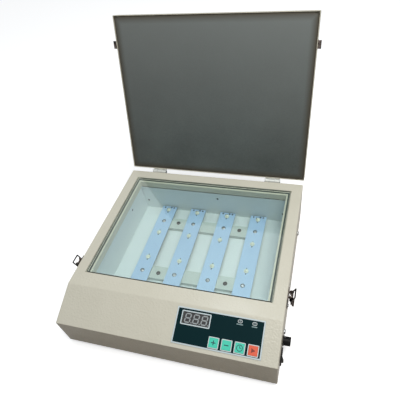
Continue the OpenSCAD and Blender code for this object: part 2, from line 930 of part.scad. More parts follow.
pcb_x0 = panel_x + pcb_margin;
pcb_x1 = panel_x + panel_w - pcb_margin;
pcb_y0 = panel_s + 2;
pcb_y1 = panel_s + panel_hgt - 2;
hole_x0 = pcb_x0 + 3.4;
hole_x1 = pcb_x1 - 3.4;
above_keys = panel_s + key_s + key_l / 2 + key_flange + spacer_r + 1;
pcb_holes = [[hole_x0, pcb_y0 + 5], [hole_x0, pcb_y1 - 5], [hole_x1, above_keys], [hole_x1, pcb_y1 - 5]];

module control_board() {
  color("#2f6b46")
    on_slope()
      difference() {
        span([pcb_x0, pcb_y0, -pcb_depth - pcb_t], [pcb_x1, pcb_y1, -pcb_depth]);
        for (at = pcb_holes)
          translate([at[0], at[1], -pcb_depth - pcb_t - 1])
            cylinder(r = pcb_hole_r, h = pcb_t + 2);
      }
}

under = -pcb_depth - pcb_t;

// Sizes of the parts on the control board, and the radius and height of the round ones
relay = [19, 15, 15];
controller = [10, 18, 2.4];
header_block = [20, 7, 8];
sounder = [6, 9];
capacitor = [4, 12];

// Place on the control board at these shares of its width and height
function pcb_at(u, v) = [pcb_x0 + u * (pcb_x1 - pcb_x0), pcb_y0 + v * (pcb_y1 - pcb_y0)];

module block_at(at, size) {
  translate([at[0] - size[0] / 2, at[1] - size[1] / 2, under - size[2]])
    cube(size);
}

module can_at(at, size) {
  translate([at[0], at[1], under - size[1]])
    cylinder(r = size[0], h = size[1]);
}

module board_components() {
  color("#3b3b3f")
    on_slope() {
      block_at(pcb_at(0.18, 0.6), relay);
      block_at(pcb_at(0.56, 0.67), controller);
      block_at(pcb_at(0.15, 0.25), header_block);
      can_at(pcb_at(0.39, 0.61), sounder);
      can_at(pcb_at(0.69, 0.65), capacitor);
    }
}

module board_spacers() {
  color("#c7c9c9")
    on_slope()
      for (at = pcb_holes)
        translate([at[0], at[1], -pcb_depth])
          difference() {
            cylinder(r = spacer_r, h = pcb_depth - shell_t);
            translate([0, 0, -1])
              cylinder(r = spacer_hole_r, h = 6);
          }
}

module panel_screws() {
  color("#aeb4b8")
    on_slope()
      for (at = pcb_holes)
        translate([at[0], at[1], under])
          rotate([180, 0, 0])
            pan_screw(2.75, 1.8, 1.5, pcb_t + 4);
}

module key_switches() {
  color("#26282b")
    on_slope()
      for (i = [0 : 3])
        translate([key_at(i)[0], key_at(i)[1], -pcb_depth]) {
          translate([-switch_w / 2, -switch_w / 2, 0])
            cube([switch_w, switch_w, switch_h]);
          translate([0, 0, switch_h - eps])
            cylinder(r = switch_tip_r, h = switch_tip_h);
        }
}

module key_cap(i, tint) {
  at = key_at(i);
  flange_top = -shell_t - panel_gap;
  stem_end = -pcb_depth + switch_h + switch_tip_h + key_travel + panel_gap;
  color(tint)
    on_slope()
      translate([at[0], at[1], 0]) {
        span([-key_w / 2, -key_l / 2, flange_top - key_flange_t],
             [key_w / 2, key_l / 2, panel_t + key_proud]);
        span([-key_w / 2 - key_flange, -key_l / 2 - key_flange, flange_top - key_flange_t],
             [key_w / 2 + key_flange, key_l / 2 + key_flange, flange_top]);
        translate([0, 0, stem_end])
          cylinder(r = key_stem_r, h = flange_top - stem_end - key_flange_t / 2);
      }
}

module key_plus() { key_cap(0, "#49d3b2"); }
module key_minus() { key_cap(1, "#49d3b2"); }
module key_timer() { key_cap(2, "#49d3b2"); }
module key_start() { key_cap(3, "#ea6444"); }

module indicator_lamps() {
  color("#e9edee")
    on_slope()
      for (x = lamp_xs)
        translate([x, lamp_y, -pcb_depth]) {
          cylinder(r = lamp_r, h = pcb_depth + panel_t);
          cylinder(r = lamp_r + 0.4, h = 1.2);
          translate([0, 0, pcb_depth + panel_t])
            intersection() {
              sphere(r = lamp_r);
              cylinder(r = lamp_r, h = lamp_r);
            }
        }
}

// In on_side's frame on the right wall, x points down and y to the back
module rocker_housing() {
  color("#1d1d1f")
    on_side(1, rocker_y, row_z)
      difference() {
        union() {
          span([-bezel_w / 2, -bezel_l / 2, 0], [bezel_w / 2, bezel_l / 2, bezel_t]);
          span([-housing_w / 2, -housing_l / 2, -housing_d], [housing_w / 2, housing_l / 2, eps]);
          for (dy = [-6, 0, 6])
            translate([-2.4, dy - tab_thin / 2, -housing_d - 7])
              cube([4.8, tab_thin, 7 + eps]);
        }
        span([-aperture_w / 2, -aperture_l / 2, -housing_d + 3],
             [aperture_w / 2, aperture_l / 2, bezel_t + 1]);
        translate([0, 0, -rocker_pivot])
          rotate([0, 90, 0])
            cylinder(r = trunnion_r + pin_fit, h = aperture_w + 2 * trunnion_l + 0.2, center = true);
      }
}

module rocker() {
  crest = rocker_rise + rocker_pivot;
  tip = crest + rocker_l / 2 * tan(rocker_tilt);
  color("#232325")
    on_side(1, rocker_y, row_z)
      translate([0, 0, -rocker_pivot])
        rotate([-rocker_tilt, 0, 0]) {
          translate([-rocker_w / 2, 0, 0])
            rotate([90, 0, 90])
              linear_extrude(rocker_w)
                polygon([
                  [-rocker_l / 2, tip], [0, crest], [rocker_l / 2, tip],
                  [rocker_l / 2, 0], [rocker_l / 4, -rocker_depth], [-rocker_l / 4, -rocker_depth],
                  [-rocker_l / 2, 0]
                ]);
          rotate([0, 90, 0])
            cylinder(r = trunnion_r, h = aperture_w + 2 * trunnion_l, center = true);
        }
}

module fuse_holder() {
  color("#1b1b1c")
    on_side(1, fuse_y, row_z)
      difference() {
        union() {
          cylinder(r = fuse_flange_r, h = 1.8);
          translate([0, 0, -fuse_body_l])
            cylinder(r = fuse_body_r, h = fuse_body_l + eps);
          translate([-2.4, -tab_thin / 2, -fuse_body_l - 6])
            cube([4.8, tab_thin, 6 + eps]);
          translate([-2.4, -fuse_body_r - 5, -24])
            cube([4.8, 6, tab_thin]);
        }
        translate([0, 0, -fuse_body_l + 3])
          cylinder(r = fuse_bore_r, h = fuse_body_l + 5);
      }
}

module fuse_nut() {
  color("#262627")
    on_side(1, fuse_y, row_z)
      translate([0, 0, -shell_t - 4])
        difference() {
          cylinder(r = 9, h = 4, $fn = 6);
          translate([0, 0, -1])
            cylinder(r = fuse_body_r + thread_gap, h = 6);
        }
}

module fuse_carrier() {
  color("#c9cdcf")
    on_side(1, fuse_y, row_z)
      difference() {
        translate([0, 0, -18])
          cylinder(r = carrier_r, h = 18);
        translate([0, 0, -18 - 1])
          cylinder(r = fuse_r + 0.1, h = 13);
        translate([0, 0, -4])
          cylinder(r = 2.6, h = 5);
      }
}

module fuse_link() {
  color("#d8dcdc")
    on_side(1, fuse_y, row_z)
      translate([0, 0, -6 - fuse_l])
        cylinder(r = fuse_r, h = fuse_l);
}

module fuse_cap() {
  color("#202021")
    on_side(1, fuse_y, row_z)
      difference() {
        union() {
          translate([0, 0, 2.1])
            cylinder(r = fuse_cap_r, h = fuse_out - 2.1);
          translate([0, 0, -3.5])
            cylinder(r = 2.5, h = 6);
        }
        translate([-fuse_cap_r, -0.8, fuse_out - 1.4])
          cube([2 * fuse_cap_r, 1.6, 2]);
        for (a = [15 : 30 : 345])
          rotate([0, 0, a])
            translate([fuse_cap_r - 0.4, -0.5, 4])
              cube([2, 1, fuse_out]);
      }
}

// In this frame z points out of the cabinet's back
module on_back(x, z) {
  stand()
    translate([x, cab_d, z])
      rotate([-90, 0, 0])
        children();
}

module mains_inlet() {
  color("#202022")
    on_back(inlet_x, inlet_z)
      difference() {
        union() {
          span([-inlet_w / 2, -inlet_h / 2, 0], [inlet_w / 2, inlet_h / 2, 2.4]);
          span([-inlet_body_w / 2, -inlet_body_h / 2, -inlet_depth],
               [inlet_body_w / 2, inlet_body_h / 2, eps]);
        }
        span([-socket_w / 2, -socket_h / 2, -inlet_depth + 1.5], [socket_w / 2, socket_h / 2, 5]);
        for (dx = [-inlet_screw_pitch / 2, inlet_screw_pitch / 2])
          translate([dx, 0, -1])
            cylinder(r = inlet_screw_r + hole_gap, h = 5);
        for (at = pin_spots)
          translate([at[0], at[1], -inlet_depth])
            cube([2 + 2 * thread_gap, 4 + 2 * thread_gap, 6], center = true);
      }
}

pin_spots = [[-pin_pitch, pin_drop], [pin_pitch, pin_drop], [0, -pin_drop]];

module inlet_pins() {
  color("#cfc9b4")
    on_back(inlet_x, inlet_z)
      for (at = pin_spots)
        translate([at[0], at[1], -inlet_depth + 2])
          cube([2, 4, 16], center = true);
}

module inlet_screws() {
  color("#aeb4b8")
    on_back(inlet_x, inlet_z)
      for (dx = [-inlet_screw_pitch / 2, inlet_screw_pitch / 2])
        translate([dx, 0, 2.4])
          pan_screw(3, 1.8, inlet_screw_r, 8);
}

driver_hole_dxs = [-driver_w / 2 - driver_tab / 2, driver_w / 2 + driver_tab / 2];

module led_driver() {
  color("#b8bcbd")
    stand()
      translate([driver_x, driver_y, driver_z])
        difference() {
          union() {
            span([-driver_w / 2, -driver_l / 2, 0], [driver_w / 2, driver_l / 2, driver_h]);
            span([-driver_w / 2 - driver_tab, -driver_tab_w / 2, 0],
                 [driver_w / 2 + driver_tab, driver_tab_w / 2, driver_tab_t]);
            span([driver_w / 2 - eps, -driver_l / 2 + 2, block_z0],
                 [driver_w / 2 + block_w, driver_l / 2 - 2, block_z1]);
          }
          for (dx = driver_hole_dxs)
            translate([dx, 0, -1])
              cylinder(r = 1.5 + hole_gap, h = 4);
          for (k = [-2 : 2])
            translate([driver_w / 2 + block_w / 2, k * block_pitch, block_z1 - 3])
              cylinder(r = 2, h = 5);
        }
}

module driver_screws() {
  color("#aeb4b8")
    stand()
      for (dx = driver_hole_dxs)
        translate([driver_x + dx, driver_y, driver_z + driver_tab_t])
          pan_screw(2.75, 1.8, 1.5, 2.2);
}

// Wires end 0.2 mm short of what they are soldered or clamped to
wire_end = 0.2;
channel_y = tray_y1 + tray_t + 3.5;
channel_x = (tray_x + tray_t + in_x) / 2;
channel_z = tab_h + 3;
front_y = tray_y0 - tray_t - 7.5;
block_wire_z = driver_z + 12.8;
far_run = 36;
near_run = 18;
short_run = 9;
stud_out = 24;
stud_up = 16;
feed_y = tray_y1 - 8.5;
feed_z = floor_z + 3.8;
mains_r = 1.1;
feed_r = 0.8;

module wiring_loom() {
  block_end = driver_x + driver_w / 2 + block_w + wire_end;
  pin_y = cab_d - inlet_depth - 6 - wire_end;
  pin_z = inlet_z - pin_drop;
  earth_z = inlet_z + pin_drop;
  stud = [inlet_x + stud_out, inlet_z + stud_up];
  fuse_end = hx - fuse_body_l - 6 - wire_end;
  fuse_lug = hx - 23.6;
  rocker_end = hx - housing_d - 7 - wire_end;
  color("#8a4b2e")
    stand() {
      // Live, from the inlet to the fuse
      wire([[inlet_x - pin_pitch, pin_y, pin_z], [inlet_x - pin_pitch, channel_y, pin_z],
            [inlet_x - pin_pitch, channel_y, channel_z], [channel_x, channel_y, channel_z],
            [channel_x, fuse_y + 14, channel_z], [fuse_end - 4, fuse_y + 14, channel_z],
            [fuse_end - 4, fuse_y, row_z], [fuse_end, fuse_y, row_z]], mains_r);
      // Fuse to the switch
      wire([[fuse_lug, fuse_y - fuse_body_r - 5 - wire_end, row_z], [fuse_lug, fuse_y - 12, row_z],
            [rocker_end - 5, rocker_y + 6, row_z], [rocker_end, rocker_y + 6, row_z]], mains_r);
      // Switch to the LED driver
      wire([[rocker_end, rocker_y, row_z], [block_end + far_run, rocker_y, row_z],
            [block_end + near_run, driver_y - block_pitch, block_wire_z],
            [block_end, driver_y - block_pitch, block_wire_z]], mains_r);
      // Neutral, from the inlet to the LED driver
      wire([[inlet_x + pin_pitch, pin_y, pin_z], [inlet_x + pin_pitch, channel_y, pin_z],
            [channel_x, channel_y, pin_z], [channel_x, front_y, pin_z],
            [block_end + far_run, front_y, pin_z], [block_end + short_run, driver_y, block_wire_z],
            [block_end, driver_y, block_wire_z]], mains_r);
      // Earth, from the inlet to the cabinet's back
      wire([[inlet_x, pin_y, earth_z], [inlet_x, channel_y, earth_z],
            [inlet_x, channel_y, stud[1]], [stud[0], channel_y, stud[1]],
            [stud[0], cab_d - shell_t - wire_end, stud[1]]], mains_r);
      // Supply to the control board
      wire([[block_end, driver_y + block_pitch, block_wire_z],
            [block_end + near_run, driver_y + block_pitch, block_wire_z],
            [header[0], header[1], row_z + 5], [header[0], header[1], header[2] - wire_end]], feed_r);
      // Supply to the light boards, along the left side and the back
      wire([[block_end, driver_y + 2 * block_pitch, block_wire_z],
            [block_end + 6, driver_y + 2 * block_pitch, block_wire_z], [block_end + 6, front_y, block_wire_z],
            [-channel_x, front_y, channel_z], [-channel_x, channel_y, channel_z],
            [-channel_x, channel_y, feed_z], [board_x(board_n - 1) + 4, channel_y, feed_z]], feed_r);
      for (i = [0 : board_n - 1])
        wire([[board_x(i), channel_y - 2 * feed_r - 0.05, feed_z], [board_x(i), feed_y, feed_z],
              [board_x(i), feed_y, rail_z - wire_end]], feed_r);
    }
}

// Middle of the control board's wire header, in the working frame
header_s = [pcb_at(0.15, 0.25)[0], pcb_at(0.15, 0.25)[1], under - header_block[2]];
header = [
  header_s[0],
  header_s[1] * cos(slope_a) - header_s[2] * sin(slope_a),
  front_h + header_s[1] * sin(slope_a) + header_s[2] * cos(slope_a) - 1.4
];

module lid_shell() {
  color("#cfcdbf")
    on_lid()
      difference() {
        span([-lid_hx, lid_y0, lid_z0], [lid_hx, lid_y1, lid_z1]);
        span([-lid_hx + lid_t, lid_y0 + lid_t, lid_z0 - 1], [lid_hx - lid_t, lid_y1 - lid_t, lid_z1 - lid_t]);
        for (x = hinge_xs, dx = [-screw_dx, screw_dx])
          translate([x + dx, lid_y1 + 1, lid_screw_z])
            rotate([90, 0, 0])
              cylinder(r = hinge_screw_r + hole_gap, h = lid_t + 2);
      }
}

// The foam's face falls back in a quarter ellipse along its edges
foam_x = lid_hx - lid_t - foam_gap;
foam_y0 = lid_y0 + lid_t + foam_gap;
foam_y1 = lid_y1 - lid_t - foam_gap;
foam_z0 = cab_h + foam_lift;
roll_steps = [0, 0.04, 0.14, 0.3, 0.55, 1];
function foam_line(a, b, n) = concat(
  [for (t = roll_steps) a + t * foam_roll],
  [for (k = [1 : n - 1]) a + foam_roll + (b - a - 2 * foam_roll) * k / n],
  [for (k = [len(roll_steps) - 1 : -1 : 0]) b - roll_steps[k] * foam_roll]
);
function edge_fall(d) = max(0, 1 - d / foam_roll);
function foam_face(x, y) =
  let (
    a = edge_fall(foam_x - abs(x)),
    b = edge_fall(min(y - foam_y0, foam_y1 - y))
  )
  foam_z0 + foam_dip * (1 - sqrt(max(0, 1 - a * a - b * b)));

module foam_pad() {
  xs = foam_line(-foam_x, foam_x, 4);
  ys = foam_line(foam_y0, foam_y1, 4);
  m = len(xs);
  n = len(ys);
  mid_y = (foam_y0 + foam_y1) / 2;
  half_y = foam_y1 - mid_y;
  back = foam_z0 + foam_front;
  top = lid_z1 - lid_t - sheet_gap;
  face = [for (y = ys, x = xs) [x, y, foam_face(x, y)]];
  rim = [
    for (i = [0 : m - 1]) i,
    for (j = [1 : n - 1]) j * m + m - 1,
    for (i = [m - 2 : -1 : 0]) (n - 1) * m + i,
    for (j = [n - 2 : -1 : 1]) j * m
  ];
  c = len(rim);
  kx = 1 - foam_step / foam_x;
  ky = 1 - foam_step / half_y;
  wide = [for (k = rim) [face[k][0], face[k][1], back]];
  narrow = [for (q = wide) [q[0] * kx, mid_y + (q[1] - mid_y) * ky, back]];
  upper = [for (q = narrow) [q[0], q[1], top]];
  loops = [rim, for (r = [0 : 2]) [for (k = [0 : c - 1]) m * n + r * c + k]];
  color("#4f5552")
    on_lid()
      polyhedron(
        points = concat(face, wide, narrow, upper, [[0, mid_y, top]]),
        faces = [
          for (j = [0 : n - 2], i = [0 : m - 2])
            each [
              [j * m + i, j * m + i + 1, (j + 1) * m + i],
              [j * m + i + 1, (j + 1) * m + i + 1, (j + 1) * m + i]
            ],
          for (r = [0 : 2], k = [0 : c - 1])
            each [
              [loops[r][k], loops[r + 1][k], loops[r][(k + 1) % c]],
              [loops[r][(k + 1) % c], loops[r + 1][k], loops[r + 1][(k + 1) % c]]
            ],
          for (k = [0 : c - 1])
            [loops[3][(k + 1) % c], loops[3][k], m * n + 3 * c]
        ]
      );
}

module lid_strikes() {
  color("#9a9186")
    on_lid()
      both_sides()
        translate([lid_hx, latch_y - strike_w / 2, lid_z0]) {
          cube([strike_t, strike_w, strike_leaf]);
          cube([strike_out, strike_w, strike_floor_t]);
          translate([strike_out - strike_t, 0, 0])
            cube([strike_t, strike_w, strike_lip]);
        }
}

knuckle_l = (hinge_w - 0.8) / 3;

module knuckle(x, length, centre_y, centre_z) {
  translate([x, centre_y, centre_z])
    rotate([0, 90, 0])
      difference() {
        cylinder(r = knuckle_r, h = length);
        translate([0, 0, -1])
          cylinder(r = pin_r + pin_fit, h = length + 2);
      }
}

strap_t = knuckle_r - pin_r - 0.4;

module hinge_leaves_cabinet() {
  color("#c3c4bd")
    stand()
      for (x = hinge_xs)
        difference() {
          union() {
            span([x - hinge_w / 2, cab_d, pivot_z - leaf_h],
                 [x + hinge_w / 2, cab_d + leaf_t, pivot_z - knuckle_r + strap_t]);
            for (start = [x - hinge_w / 2, x + hinge_w / 2 - knuckle_l]) {
              difference() {
                span([start, cab_d, pivot_z - knuckle_r],
                     [start + knuckle_l, pivot_y, pivot_z - knuckle_r + strap_t]);
                translate([start - 1, pivot_y, pivot_z])
                  rotate([0, 90, 0])
                    cylinder(r = knuckle_r - eps, h = knuckle_l + 2);
              }
              knuckle(start, knuckle_l, pivot_y, pivot_z);
            }
          }
          span([x - knuckle_l / 2 - 0.4, cab_d - 1, pivot_z - knuckle_r - 0.5],
               [x + knuckle_l / 2 + 0.4, cab_d + leaf_t + 1, pivot_z]);
          for (dx = [-screw_dx, screw_dx])
            translate([x + dx, cab_d + leaf_t + 1, leaf_screw_z])
              rotate([90, 0, 0])
                cylinder(r = hinge_screw_r + hole_gap, h = leaf_t + 2);
        }
}

leaf_lift = 0.7;

module hinge_leaves_lid() {
  strap_top = pivot_z + knuckle_r;
  color("#c3c4bd")
    on_lid()
      for (x = hinge_xs)
        difference() {
          union() {
            span([x - hinge_w / 2, lid_y1, lid_z0 + leaf_lift],
                 [x + hinge_w / 2, lid_y1 + leaf_t, lid_z1 - 1]);
            difference() {
              span([x - knuckle_l / 2, lid_y1, strap_top - strap_t], [x + knuckle_l / 2, pivot_y, strap_top]);
              translate([x - hinge_w, pivot_y, pivot_z])
                rotate([0, 90, 0])
                  cylinder(r = knuckle_r - eps, h = 2 * hinge_w);
            }
            knuckle(x - knuckle_l / 2, knuckle_l, pivot_y, pivot_z);
          }
          for (dx = [-screw_dx, screw_dx])
            translate([x + dx, lid_y1 + leaf_t + 1, lid_screw_z])
              rotate([90, 0, 0])
                cylinder(r = hinge_screw_r + hole_gap, h = leaf_t + 2);
        }
}

module hinge_pins() {
  color("#9fa3a4")
    stand()
      for (x = hinge_xs)
        translate([x - hinge_w / 2 - 0.9, pivot_y, pivot_z])
          rotate([0, 90, 0]) {
            cylinder(r = pin_r, h = hinge_w + 1.8);
            cylinder(r = pin_r + 0.8, h = 0.8);
            translate([0, 0, hinge_w + 1])
              cylinder(r = pin_r + 0.8, h = 0.8);
          }
}

module hinge_screws_cabinet() {
  color("#a9adae")
    stand()
      for (x = hinge_xs, dx = [-screw_dx, screw_dx])
        translate([x + dx, cab_d + leaf_t, leaf_screw_z])
          rotate([-90, 0, 0])
            pan_screw(3.2, 1.9, hinge_screw_r, leaf_t + shell_t + 3);
}

module hinge_screws_lid() {
  color("#a9adae")
    on_lid()
      for (x = hinge_xs, dx = [-screw_dx, screw_dx])
        translate([x + dx, lid_y1 + leaf_t, lid_screw_z])
          rotate([-90, 0, 0])
            pan_screw(3.2, 1.9, hinge_screw_r, leaf_t + lid_t + 3);
}

latch_screw_r = 1.5;
latch_screw_z = latch_z + 5;
latch_screw_dys = [-latch_w / 2 + 2.7, latch_w / 2 - 2.7];

module latch_bases() {
  color("#b7aea2")
    stand()
      both_sides()
        translate([hx, latch_y, 0]) {
          difference() {
            span([0, -latch_w / 2, latch_z], [latch_t, latch_w / 2, cab_h - 1]);
            for (dy = latch_screw_dys)
              translate([-1, dy, latch_screw_z])
                rotate([0, 90, 0])
                  cylinder(r = latch_screw_r + hole_gap, h = latch_t + 2);
          }
          for (side = [-1, 1])
            translate([0, side > 0 ? ear_y : -ear_y - ear_t, 0]) {
              span([latch_t - eps, 0, lever_z - 2.2], [lever_x, ear_t, lever_z + 2.2]);
              translate([lever_x, 0, lever_z])
                rotate([-90, 0, 0])
                  cylinder(r = 2.2, h = ear_t);
            }
          translate([lever_x, -flange_y - flange_t - 0.3, lever_z])
            rotate([-90, 0, 0])
              cylinder(r = lever_pin_r, h = 2 * (flange_y + flange_t + 0.3));
        }
}

module latch_screws() {
  color("#a9adae")
    for (side = [-1, 1], dy = latch_screw_dys)
      on_side(side, latch_y + dy, latch_screw_z)
        translate([0, 0, latch_t])
          pan_screw(2.4, 1.5, latch_screw_r, latch_t + shell_t + 2.5);
}

// A lever and its bail as on the right side; side = -1 mirrors them
module on_latch(side) {
  stand()
    mirror([side < 0 ? 1 : 0, 0, 0])
      translate([hx, latch_y, 0])
        children();
}

module latch_lever(side) {
  color("#a89e92")
    on_latch(side)
      difference() {
        union() {
          for (s = [-1, 1])
            translate([0, s > 0 ? flange_y : -flange_y - flange_t, 0]) {
              translate([lever_x, 0, lever_z])
                rotate([-90, 0, 0])
                  cylinder(r = latch_pivot_r, h = flange_t);
              span([bail_x - 1.9, 0, bail_z - 2], [web_x1, flange_t, lever_z]);
              span([web_x0 - 2, 0, handle_z + 4], [web_x1, flange_t, bail_z]);
            }
          span([web_x0, -flange_y - flange_t, handle_z + 2], [web_x1, flange_y + flange_t, lever_z - 3.4]);
          translate([web_x0, -flange_y - flange_t, handle_z])
            rotate([0, 0, 0])
              cube([3.2, 2 * (flange_y + flange_t), 2]);
        }
        translate([lever_x, 0, lever_z])
          rotate([90, 0, 0])
            cylinder(r = lever_pin_r + pin_fit, h = 4 * flange_y, center = true);
        translate([bail_x, 0, bail_z])
          rotate([90, 0, 0])
            cylinder(r = bail_r + pin_fit, h = 4 * flange_y, center = true);
      }
}

module latch_bail(side) {
  stub = arm_y - ear_y - ear_t + 0.2;
  color("#8f8a86")
    on_latch(side)
      translate([bail_x, 0, bail_z])
        rotate([0, bail_lean, 0]) {
          for (s = [-1, 1])
            translate([0, s * arm_y, 0]) {
              cylinder(r = bail_r, h = bail_l);
              sphere(r = bail_r);
              translate([0, 0, bail_l])
                sphere(r = bail_r);
              rotate([s * 90, 0, 0])
                cylinder(r = bail_r, h = stub);
            }
          translate([0, -arm_y, bail_l])
            rotate([-90, 0, 0])
              cylinder(r = bail_r, h = 2 * arm_y);
        }
}

module latch_lever_left() { latch_lever(-1); }
module latch_lever_right() { latch_lever(1); }
module latch_bail_left() { latch_bail(-1); }
module latch_bail_right() { latch_bail(1); }

cabinet_shell();
base_plate();
base_screws();
feet();
glass_frame();
glass_seal();
glass_plate();
reflector_tray();
tray_rivets();
rail_front();
rail_rear();
rail_standoffs();
rail_screws();
led_board_1();
led_board_2();
led_board_3();
led_board_4();
led_emitters();
board_screws();
control_overlay();
display_module();
display_segments();
control_board();
board_components();
board_spacers();
panel_screws();
key_switches();
key_plus();
key_minus();
key_timer();
key_start();
indicator_lamps();
rocker_housing();
rocker();
fuse_holder();
fuse_nut();
fuse_carrier();
fuse_link();
fuse_cap();
mains_inlet();
inlet_pins();
inlet_screws();
led_driver();
driver_screws();
wiring_loom();
lid_shell();
foam_pad();
lid_strikes();
hinge_leaves_cabinet();
hinge_leaves_lid();
hinge_pins();
hinge_screws_cabinet();
hinge_screws_lid();
latch_bases();
latch_screws();
latch_lever_left();
latch_lever_right();
latch_bail_left();
latch_bail_right();
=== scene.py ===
# %% [markdown]
# # A tabletop screen exposure unit
#
# A photographer's light table turned into a tool: a painted sheet-metal box with a glass bed,
# strip boards of small lamps below the glass, and a foam-lined lid that presses a film and a
# coated screen together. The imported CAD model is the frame. This script gives every piece its
# finish, rounds the folded sheet, and models the foam, the glass and the printed panel.

import json
import math

import bmesh
import bpy
import numpy as np
from mathutils import Matrix, Vector


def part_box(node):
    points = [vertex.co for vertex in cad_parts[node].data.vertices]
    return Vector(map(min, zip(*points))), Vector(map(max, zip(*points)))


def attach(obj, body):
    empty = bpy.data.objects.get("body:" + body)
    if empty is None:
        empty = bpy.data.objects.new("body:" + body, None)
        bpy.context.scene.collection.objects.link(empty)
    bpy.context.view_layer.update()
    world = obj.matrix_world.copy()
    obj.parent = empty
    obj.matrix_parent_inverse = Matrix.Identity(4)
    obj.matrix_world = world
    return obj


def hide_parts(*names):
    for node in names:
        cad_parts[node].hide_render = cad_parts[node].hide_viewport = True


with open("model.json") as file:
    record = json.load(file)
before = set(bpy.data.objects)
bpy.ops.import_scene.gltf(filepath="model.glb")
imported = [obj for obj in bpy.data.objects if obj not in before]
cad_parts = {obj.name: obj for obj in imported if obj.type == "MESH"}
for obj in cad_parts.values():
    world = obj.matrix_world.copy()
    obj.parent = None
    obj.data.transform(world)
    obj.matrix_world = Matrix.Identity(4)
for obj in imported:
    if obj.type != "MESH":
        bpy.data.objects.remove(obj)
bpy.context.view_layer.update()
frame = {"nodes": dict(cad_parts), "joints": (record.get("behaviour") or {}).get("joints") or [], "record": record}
nodes = frame["nodes"]
record = frame["record"]
slot_of = {part["node"]: part["material_slot"] for part in record["subparts"]}
body_of = {node: body for body, members in record["behaviour"]["bodies"].items() for node in members}
lid_hinge = next(joint for joint in frame["joints"] if joint["name"] == "lid_hinge")

# %% [markdown]
# ## Two local frames
#
# The drawing measures from the cabinet's front face and lower edge, in millimetres. Two surfaces
# are turned from there: the sloping panel, and everything on the lid, which is drawn shut and
# then opened about the hinge. Each helper takes an array of points and turns the whole of it.

# %% From drawing millimetres to metres in the frame
MM = 0.001
shell_low, shell_high = (np.array(corner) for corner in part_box("cabinet_shell"))
FRONT_Y = shell_low[1]
BASE_Z = shell_low[2]
HALF_W = shell_high[0] / MM
TOP_H = (shell_high[2] - BASE_Z) / MM
CABINET_D = (shell_high[1] - FRONT_Y) / MM
# Height of the front face and depth of the slope behind it
FRONT_H = 55.0
SLOPE_RUN = 56.2
SLOPE = math.atan2(TOP_H - FRONT_H, SLOPE_RUN)
HINGE = np.array(lid_hinge["pos_m"])
LID_OPEN = math.radians(lid_hinge["range_deg"][1])


def place(points):
    """Drawing millimetres to metres: the front face's y and the lower edge's z are added."""
    return np.asarray(points, float) * MM + np.array([0, FRONT_Y, BASE_Z])


def on_slope(points):
    """(x, up the slope, out of it) to the frame: a turn by the slope about X at the front fold."""
    p = np.asarray(points, float)
    y = p[..., 1] * math.cos(SLOPE) - p[..., 2] * math.sin(SLOPE)
    z = p[..., 1] * math.sin(SLOPE) + p[..., 2] * math.cos(SLOPE) + FRONT_H
    return place(np.stack([p[..., 0], y, z], -1))


def on_lid(points):
    """Points of the shut lid to the open one: a turn by minus the opening angle about the hinge."""
    p = place(points) - HINGE
    y = p[..., 1] * math.cos(LID_OPEN) + p[..., 2] * math.sin(LID_OPEN)
    z = -p[..., 1] * math.sin(LID_OPEN) + p[..., 2] * math.cos(LID_OPEN)
    return np.stack([p[..., 0], y, z], -1) + HINGE


print("slope", round(math.degrees(SLOPE), 2), "lid", round(math.degrees(LID_OPEN), 1))

# %% [markdown]
# ## The camera
#
# The camera stands where the photograph was taken: in front, to the right and well above. Its
# place and turn were solved from the cabinet's edges, so straight lines land where they should.

# %% The camera
EYE = place([182.60, -180.09, 546.33])
TURN = np.array([2.39910, 0.248678, -0.250112])
# Focal length, optical centre and side of the square picture, in its pixels
FOCAL_PX = 376.35
CENTRE_PX = (213.454, 216.971)
FRAME_PX = 400
SENSOR_MM = 36


def turn_matrix(turn):
    """The turn by the vector's length in radians about its direction.

    The matrix is one, plus sin times the cross product, plus (1 - cos) times its square.
    """
    angle = np.linalg.norm(turn)
    x, y, z = turn / angle
    cross = np.array([[0, -z, y], [z, 0, -x], [-y, x, 0]])
    return np.eye(3) + math.sin(angle) * cross + (1 - math.cos(angle)) * cross @ cross


view_rows = turn_matrix(TURN)
camera = bpy.data.cameras.new("camera")
camera.sensor_fit = "HORIZONTAL"
camera.sensor_width = SENSOR_MM
camera.lens = FOCAL_PX * SENSOR_MM / FRAME_PX
camera.shift_x = -(CENTRE_PX[0] - FRAME_PX / 2) / FRAME_PX
camera.shift_y = (CENTRE_PX[1] - FRAME_PX / 2) / FRAME_PX
camera.clip_start = 0.01
camera_object = bpy.data.objects.new("camera", camera)
axes = np.stack([view_rows[0], -view_rows[1], -view_rows[2]], 1)
camera_object.matrix_world = Matrix.Translation(Vector(EYE)) @ Matrix(axes.tolist()).to_4x4()
bpy.context.scene.collection.objects.link(camera_object)
bpy.context.scene.camera = camera_object
print("lens", round(camera.lens, 2))

# %% [markdown]
# ## Colours and shared effects
#
# Colours are written as a screen shows them and turned into the linear values that the shaders
# take. Two effects are used all over: a mottle of two noises, and a skin of tiny bumps. Each is a
# node group, built once, and every material gives it numbers of its own.

# %% Colour helper
def linear(red, green, blue):
    """A screen colour of 0 to 255 per channel, as linear light with the sRGB curve undone."""
    shown = np.array([red, green, blue]) / 255
    light = np.where(shown <= 0.04045, shown / 12.92, ((shown + 0.055) / 1.055) ** 2.4)
    return (*light.tolist(), 1.0)


# %% Node helper
def add(tree, kind, inputs=None, **settings):
    """A node of that kind, with its settings and the values of its unlinked inputs."""
    node = tree.nodes.new(kind)
    for key, value in settings.items():
        setattr(node, key, value)
    for key, value in (inputs or {}).items():
        node.inputs[key].default_value = value
    return node


